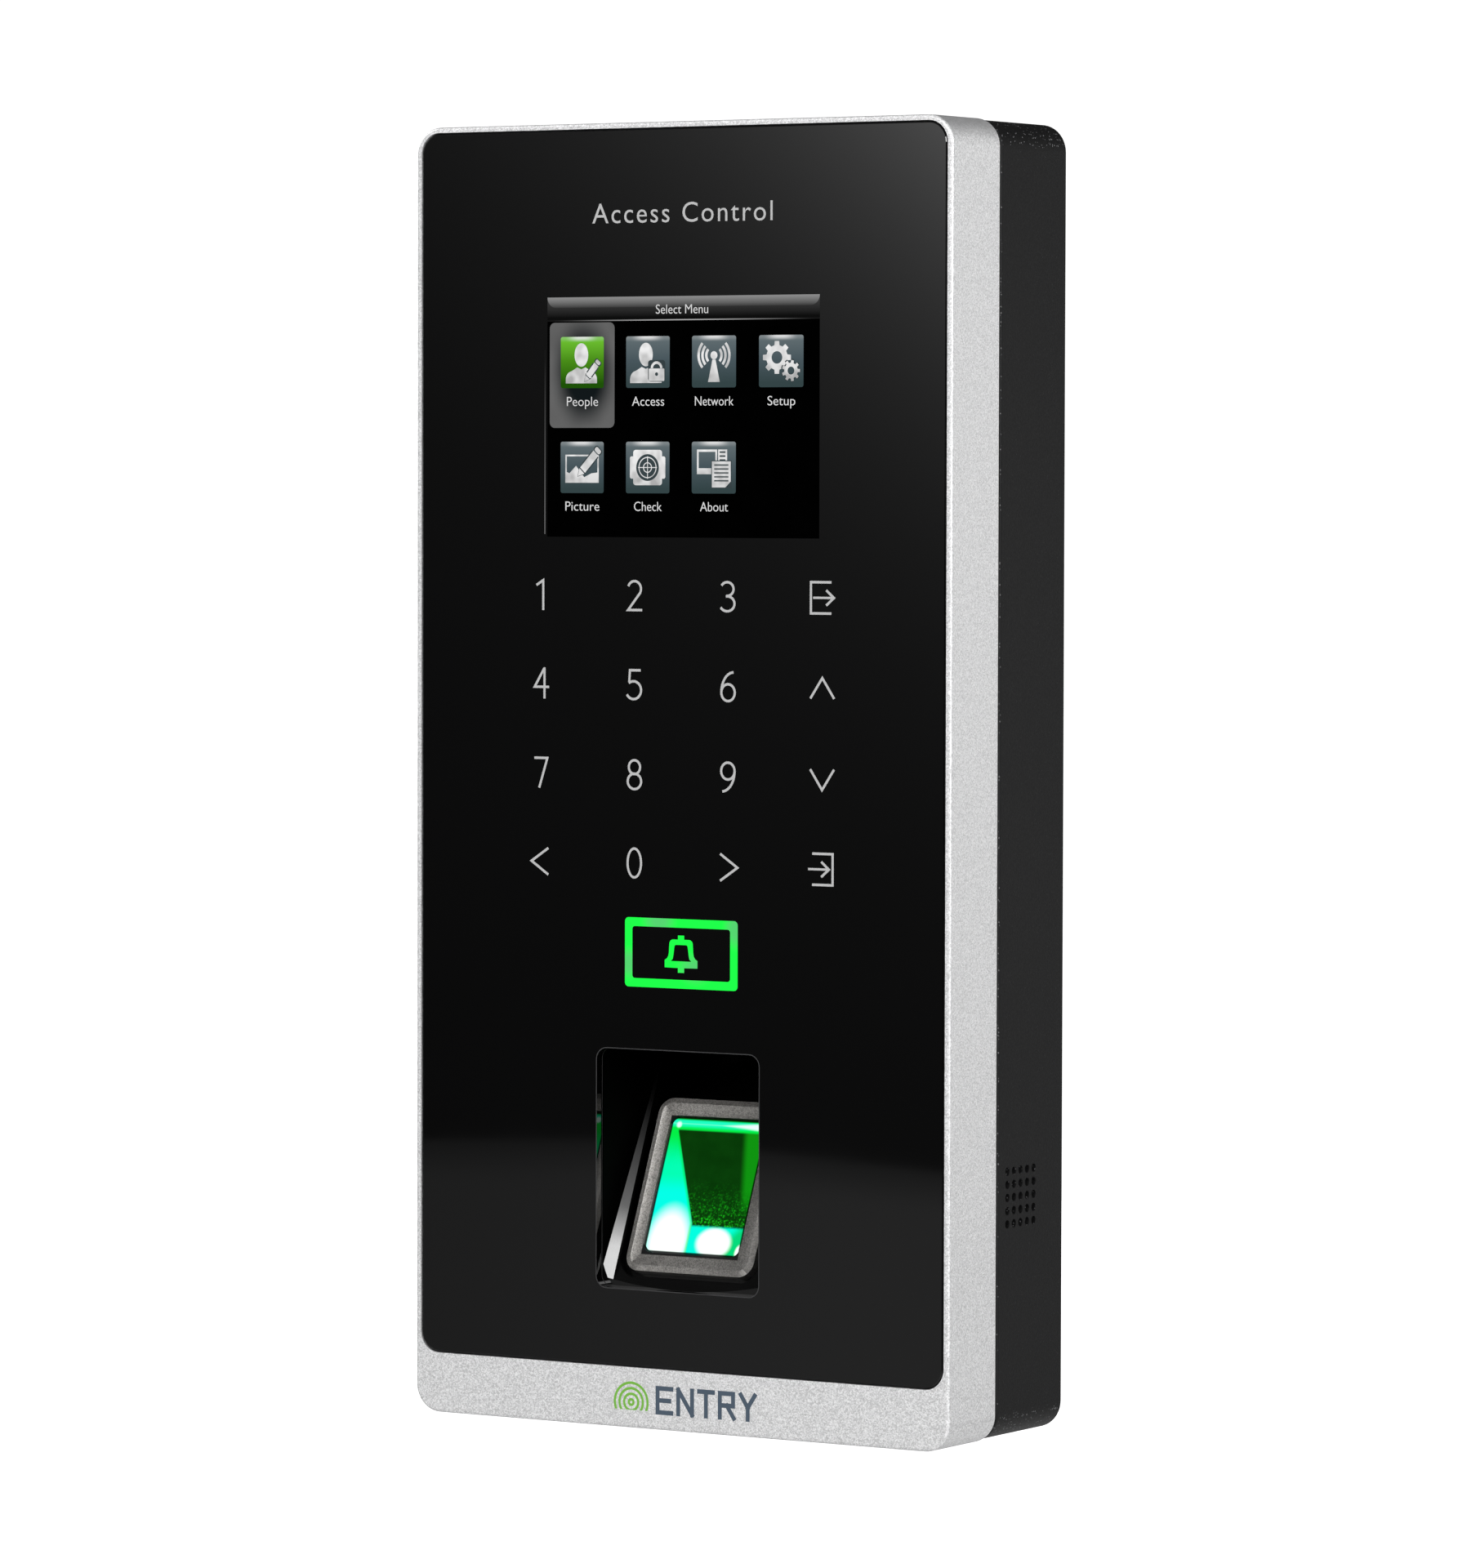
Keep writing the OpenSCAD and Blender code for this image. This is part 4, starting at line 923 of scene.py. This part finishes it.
def gear(cx, cy, r, teeth, depth, bore):
    """A gear's outline and its hole."""
    outline = []
    for i in range(teeth):
        middle = 360 * i / teeth
        for offset, radius in ((-0.30, r - depth), (-0.2, r), (0.2, r), (0.30, r - depth)):
            a = math.radians(middle + offset * 360 / teeth)
            outline.append((cx + radius * math.cos(a), cy + radius * math.sin(a)))
    return outline, circle(cx, cy, bore, 28)


def draw_people(light, dark, cx, cy, with_lock):
    """A person with a padlock or a pencil."""
    for part in person(cx - (0.35 if with_lock else 0.15), cy):
        light.add(part, layer=5)
    if with_lock:
        lx, ly = cx + 1.6, cy - 1.95
        dark.add(rounded(lx - 1.55, ly - 1.05, lx + 1.55, ly + 2.25, 0.5), layer=6)
        light.add(rounded(lx - 1.4, ly - 0.95, lx + 1.4, ly + 0.95, 0.15), circle(lx, ly + 0.1, 0.28, 16),
                  layer=7)
        light.add(arc(lx, ly + 1.0, 1.05, 0, 180, 14) + arc(lx, ly + 1.0, 0.65, 180, 0, 14), layer=7)
    else:
        for part in pencil(cx + 1.75, cy - 1.35, 4.3, 1.35, 50):
            dark.add(part, layer=6)
        for part in pencil(cx + 1.75, cy - 1.35, 4.1, 0.95, 50):
            light.add(part, layer=7)


def draw_waves(light, cx, cy):
    """A mast with waves to both sides."""
    light.add(circle(cx, cy + 0.95, 0.62, 20), layer=5)
    light.add([(cx - 1.05, cy - 3.1), (cx + 1.05, cy - 3.1), (cx + 0.28, cy + 0.3), (cx - 0.28, cy + 0.3)],
              layer=5)
    for r in (1.15, 1.85, 2.55):
        for start in (-42, 138):
            light.add(arc(cx, cy + 0.95, r + 0.42, start, start + 84, 12)
                      + arc(cx, cy + 0.95, r, start + 84, start, 12), layer=5)


def draw_gears(light, dark, cx, cy):
    light.add(*gear(cx - 0.75, cy + 0.55, 2.5, 8, 0.6, 0.95), layer=5)
    dark.add(*gear(cx + 1.75, cy - 1.45, 1.8, 9, 0.4, 0.5), layer=6)
    light.add(*gear(cx + 1.75, cy - 1.45, 1.6, 9, 0.4, 0.6), layer=7)


def draw_picture(light, dark, cx, cy):
    """A framed picture with hills, and a pencil."""
    x0, x1, y0, y1 = cx - 3.05, cx + 3.05, cy - 2.35, cy + 1.95
    light.add(box(x0, y0, x1, y1), box(x0 + 0.25, y0 + 0.25, x1 - 0.25, y1 - 0.25), layer=5)
    light.add([(x0, y0), (x1, y0), (x1, cy - 0.75), (cx + 1.7, cy - 0.9), (cx + 0.4, cy - 1.5),
               (cx - 1.1, cy + 0.25), (cx - 2.3, cy - 0.9), (x0, cy - 0.6)], layer=6)
    for part in pencil(cx + 1.2, cy + 0.75, 6.0, 1.6, 47):
        dark.add(part, layer=7)
    for part in pencil(cx + 1.2, cy + 0.75, 5.7, 1.2, 47):
        light.add(part, layer=8)


def draw_target(light, dark, cx, cy):
    """Rings and a cross on a plate."""
    light.add(rounded(cx - 3.2, cy - 1.7, cx + 3.2, cy + 1.7, 0.3), layer=5)
    light.add(rounded(cx - 2.6, cy - 2.7, cx + 2.6, cy + 2.7, 0.45), layer=6)
    dark.add(circle(cx, cy, 2.05, 36), layer=7)
    for r in (1.62, 0.8):
        light.add(circle(cx, cy, r, 32), circle(cx, cy, r - 0.14, 32), layer=8)
    light.add(box(cx - 1.7, cy - 0.06, cx + 1.7, cy + 0.06), layer=9)
    light.add(box(cx - 0.06, cy - 1.7, cx + 0.06, cy + 1.7), layer=9)


def draw_document(light, dark, cx, cy):
    """A page of lines in front of two others."""
    light.add(box(cx - 3.0, cy - 1.0, cx + 0.6, cy + 2.75), box(cx - 2.7, cy - 0.1, cx + 0.3, cy + 2.4),
              layer=5)
    light.add(box(cx + 0.8, cy + 0.5, cx + 2.4, cy + 2.75), layer=5)
    for z in (2.35, 1.75, 1.15):
        dark.add(box(cx + 1.05, cy + z - 0.12, cx + 2.1, cy + z + 0.12), layer=6)
    dark.add(box(cx - 0.45, cy - 3.15, cx + 3.2, cy + 1.1), layer=6)
    light.add([(cx - 0.3, cy - 3.0), (cx + 2.1, cy - 3.0), (cx + 3.05, cy - 2.1), (cx + 3.05, cy + 0.95),
               (cx - 0.3, cy + 0.95)], layer=7)
    for z in (0.4, -0.2, -0.8, -1.4, -2.0):
        dark.add(box(cx + 0.1, cy + z - 0.1, cx + 2.65, cy + z + 0.1), layer=8)


def show(plates, name, colour_of):
    """Makes one lit piece of the display."""
    plates.make(name, lit(name, colour_of), "display_glass")


def chosen_colour(s):
    """The chosen tile's frame: grey, with a dark glow in its middle."""
    glow = s.spot(s.axis(0), s.axis(2), -17.2, 61.9, 4.7, 6.9, 0.42)
    return s.mix(glow, s.mix(s.noise(7, 1), grey(84), grey(112)), rgb(18, 24, 26))


def screen():
    """The display's content, back to front."""
    x0, z0, x1, z1 = SCREEN
    middle = (x0 + x1) / 2
    back = Plates()
    back.add(box(x0, z0, x1, z1), layer=1)
    show(back, "screen_ground", lambda s: s.mix(s.noise(5), (0, 0, 0, 1), grey(2)))

    # a fine light edge where the display lies behind the window's left side
    edge = Plates()
    edge.add(box(x0 - 0.5, z0 + 0.4, x0 - 0.38, z1 - 8), layer=1)
    show(edge, "screen_edge", lambda s: s.mix(s.line(s.axis(2), 40, 64), grey(120), grey(28)))

    bar, gloss, rule = Plates(), Plates(), Plates()
    bar.add(box(x0, BAR_LOW, x1, z1), layer=2)
    show(bar, "screen_bar", lambda s: s.mix(s.line(s.axis(2), BAR_LOW + 0.4, z1), grey(14), grey(66)))
    gloss.add(arc(x0 + GLOSS_H, z1, GLOSS_H, 180, 270, 10) + arc(x1 - GLOSS_H, z1, GLOSS_H, 270, 360, 10),
              layer=3)
    show(gloss, "screen_gloss",
         lambda s: s.mix(s.line(s.axis(2), z1 - GLOSS_H, z1 - 0.1), grey(58), grey(138)))
    rule.add(box(x0, BAR_LOW - 0.16, x1, BAR_LOW), layer=2)
    show(rule, "screen_rule", lambda s: s.mix(
        s.step(s.math("ABSOLUTE", s.math("SUBTRACT", s.axis(0), middle)), 1, 24), grey(170), grey(25)))

    chosen = Plates()
    chosen.add(rounded(-23.44, 53.46, -11.61, 69.58, 0.9), layer=3)
    show(chosen, "screen_choice", chosen_colour)

    tiles, green = Plates(), Plates()
    places = [(x, TILE_Z[0]) for x in TILE_X] + [(x, TILE_Z[1]) for x in TILE_X[:3]]
    for i, (x, z) in enumerate(places):
        (tiles if i else green).add(rounded(x, z, x + TILE, z + TILE, 0.35), layer=4)
    show(tiles, "screen_tiles", tile_colour(rgb(52, 68, 70), rgb(72, 86, 92), rgb(96, 108, 112)))
    show(green, "screen_tile_green", tile_colour(rgb(30, 82, 8), rgb(72, 140, 24), rgb(108, 190, 48)))

    light, dark = Plates(), Plates()
    middles = [(x + TILE / 2, z + TILE / 2) for x, z in places]
    draw_people(light, dark, *middles[0], with_lock=False)
    draw_people(light, dark, *middles[1], with_lock=True)
    draw_waves(light, *middles[2])
    draw_gears(light, dark, *middles[3])
    draw_picture(light, dark, *middles[4])
    draw_target(light, dark, *middles[5])
    draw_document(light, dark, *middles[6])
    show(light, "screen_icons", icon_colour)
    show(dark, "screen_icon_shade", lambda s: s.mix(s.noise(2), rgb(48, 58, 60), rgb(62, 74, 78)))

    labels = Plates()
    words(labels, "Select Menu", 0.57, 70.8, 1.5, width=9.4, weight=-0.006, layer=4)
    for (x, z), (text, width) in zip(middles, LABELS):
        base = LABEL_Z[0] if z > TILE_Z[0] else LABEL_Z[1]
        words(labels, text, x + 0.05, base, 1.52, width=width, weight=-0.006, layer=4)
    show(labels, "screen_words", lambda s: s.mix(s.noise(1), grey(208), grey(226)))


# ---------- studio ----------

def make_camera():
    """The camera stands right of the terminal and looks slightly down at it."""
    data = bpy.data.cameras.new("camera")
    camera = add_object("camera", data)
    data.sensor_width = 36
    data.lens = 171.1
    data.clip_start = 0.05
    data.clip_end = 50
    yaw, pitch, roll = (math.radians(a) for a in (31.895, 2.35, 0.136))
    ahead = Vector((-math.sin(yaw) * math.cos(pitch), math.cos(yaw) * math.cos(pitch), -math.sin(pitch)))
    right = Vector((math.cos(yaw), math.sin(yaw), 0))
    up = right.cross(ahead)
    right, up = (math.cos(roll) * right + math.sin(roll) * up, math.cos(roll) * up - math.sin(roll) * right)
    place = Vector((0.6071, FRONT - 0.9594, 0.0458))
    camera.matrix_world = Matrix.Translation(place) @ Matrix((right, up, -ahead)).transposed().to_4x4()
    bpy.context.scene.camera = camera


def area_light(name, place, size, power, tall=None):
    """A soft box that faces the terminal."""
    data = bpy.data.lights.new(name, "AREA")
    data.shape = "RECTANGLE"
    data.size = size
    data.size_y = tall or size
    data.energy = power
    lamp = add_object(name, data)
    lamp.location = place
    lamp.rotation_euler = (-Vector(place)).to_track_quat("-Z", "Y").to_euler()
    lamp.visible_camera = False


def make_floor():
    """Seen by the camera only, far enough below for views from below."""
    height, half = -1.4, 12.0
    mesh = bpy.data.meshes.new("floor")
    bm = bmesh.new()
    for x, y in box(-half, -half, half, half):
        bm.verts.new((x, y, height))
    bm.faces.new(bm.verts)
    bm.to_mesh(mesh)
    bm.free()
    s = Shade("floor", roughness=0.9)
    s.set(Base_Color=s.mix(s.noise(300), grey(242), grey(246)))
    s.set(Emission_Color=(1, 1, 1, 1), Emission_Strength=1.0)
    mesh.materials.append(s.material)
    floor = add_object("floor", mesh)
    floor.visible_glossy = False
    floor.visible_diffuse = False


def make_world():
    """White behind the object. Polished surfaces mirror a dim studio: a pale table and a soft glow above."""
    world = bpy.data.worlds.new("studio")
    bpy.context.scene.world = world
    world.use_nodes = True
    n = Nodes(world.node_tree)
    n.tree.nodes.clear()

    def blend(factor, a, b):
        made = n.node("ShaderNodeMix", data_type="FLOAT")
        for index, value in ((0, factor), (2, a), (3, b)):
            n.feed(made.inputs[index], value)
        return made.outputs[0]

    direction = n.node("ShaderNodeTexCoord").outputs["Generated"]
    parts = n.node("ShaderNodeSeparateXYZ")
    n.feed(parts.inputs[0], direction)
    right, height = parts.outputs[0], parts.outputs[2]

    # a glow with a soft rim, inside a faint wide one; angles from its middle are in degrees
    rim, rim_halves, wide_halves = 16.87, 0.7, 6.4
    turn, rise = math.radians(18.7), math.radians(14.6)
    middle = (-math.sin(turn) * math.cos(rise), -math.cos(turn) * math.cos(rise), math.sin(rise))
    near = n.node("ShaderNodeVectorMath", operation="DOT_PRODUCT")
    n.feed(near.inputs[0], direction)
    near.inputs[1].default_value = middle
    angle = n.math("DEGREES", n.math("ARCCOSINE", n.math("MINIMUM", near.outputs["Value"], 1.0)))
    inner = n.math("POWER", 0.5, n.math("DIVIDE", n.math("SUBTRACT", angle, rim), rim_halves))
    outer = n.math("MULTIPLY", 0.8, n.math("POWER", 0.5, n.math("DIVIDE", angle, wide_halves)))
    upper = n.math("ADD", n.math("MINIMUM", inner, 1.6), n.math("ADD", outer, 0.004))

    # the table's far edge, just below the horizon, dips to the right
    dip = n.math("MULTIPLY", n.math("MAXIMUM", n.math("ADD", right, 0.535), 0.0), 0.13)
    edge = n.math("ADD", height, dip)
    table = n.step(edge, -0.0885, -0.0945, 0.165, 0.28)
    table = n.math("MULTIPLY", table, n.step(right, -0.565, -0.505, 1.0, 1.4))
    table = n.math("ADD", table, n.step(height, -0.2, -0.75, 0.0, 0.6))
    mirrored_there = blend(n.step(edge, -0.0883, -0.0889), upper, table)

    # the camera sees white, and everything but a mirror an even grey
    path = n.node("ShaderNodeLightPath")
    lighting = blend(path.outputs["Is Glossy Ray"], 0.42, mirrored_there)
    background = n.node("ShaderNodeBackground")
    background.inputs["Color"].default_value = (1, 1, 1, 1)
    n.feed(background.inputs["Strength"], blend(path.outputs["Is Camera Ray"], lighting, 1.1))
    output = n.node("ShaderNodeOutputWorld")
    n.feed(output.inputs["Surface"], background.outputs[0])


def make_lights():
    """Two at the front's sides, one before it, a weak one above and two behind for the edges."""
    area_light("softbox_left", (-1.9, -0.3, 1.25), 0.9, 24)
    area_light("softbox_right", (1.9, -0.95, 0.58), 0.9, 40, tall=0.7)
    area_light("softbox_front", (0.3, -2.3, 1.25), 0.7, 34)
    area_light("softbox_top", (-0.2, -0.2, 2.2), 1.0, 1.2)
    area_light("softbox_back_left", (-1.9, 1.3, 0.2), 1.0, 24)
    area_light("softbox_back_right", (1.25, 2.1, 0.1), 0.9, 3.8)


finish_nodes()
key_legends()
opening_edge()
bell_key()
screen()
make_camera()
make_world()
make_lights()
make_floor()
bpy.context.scene.view_settings.view_transform = "Standard"
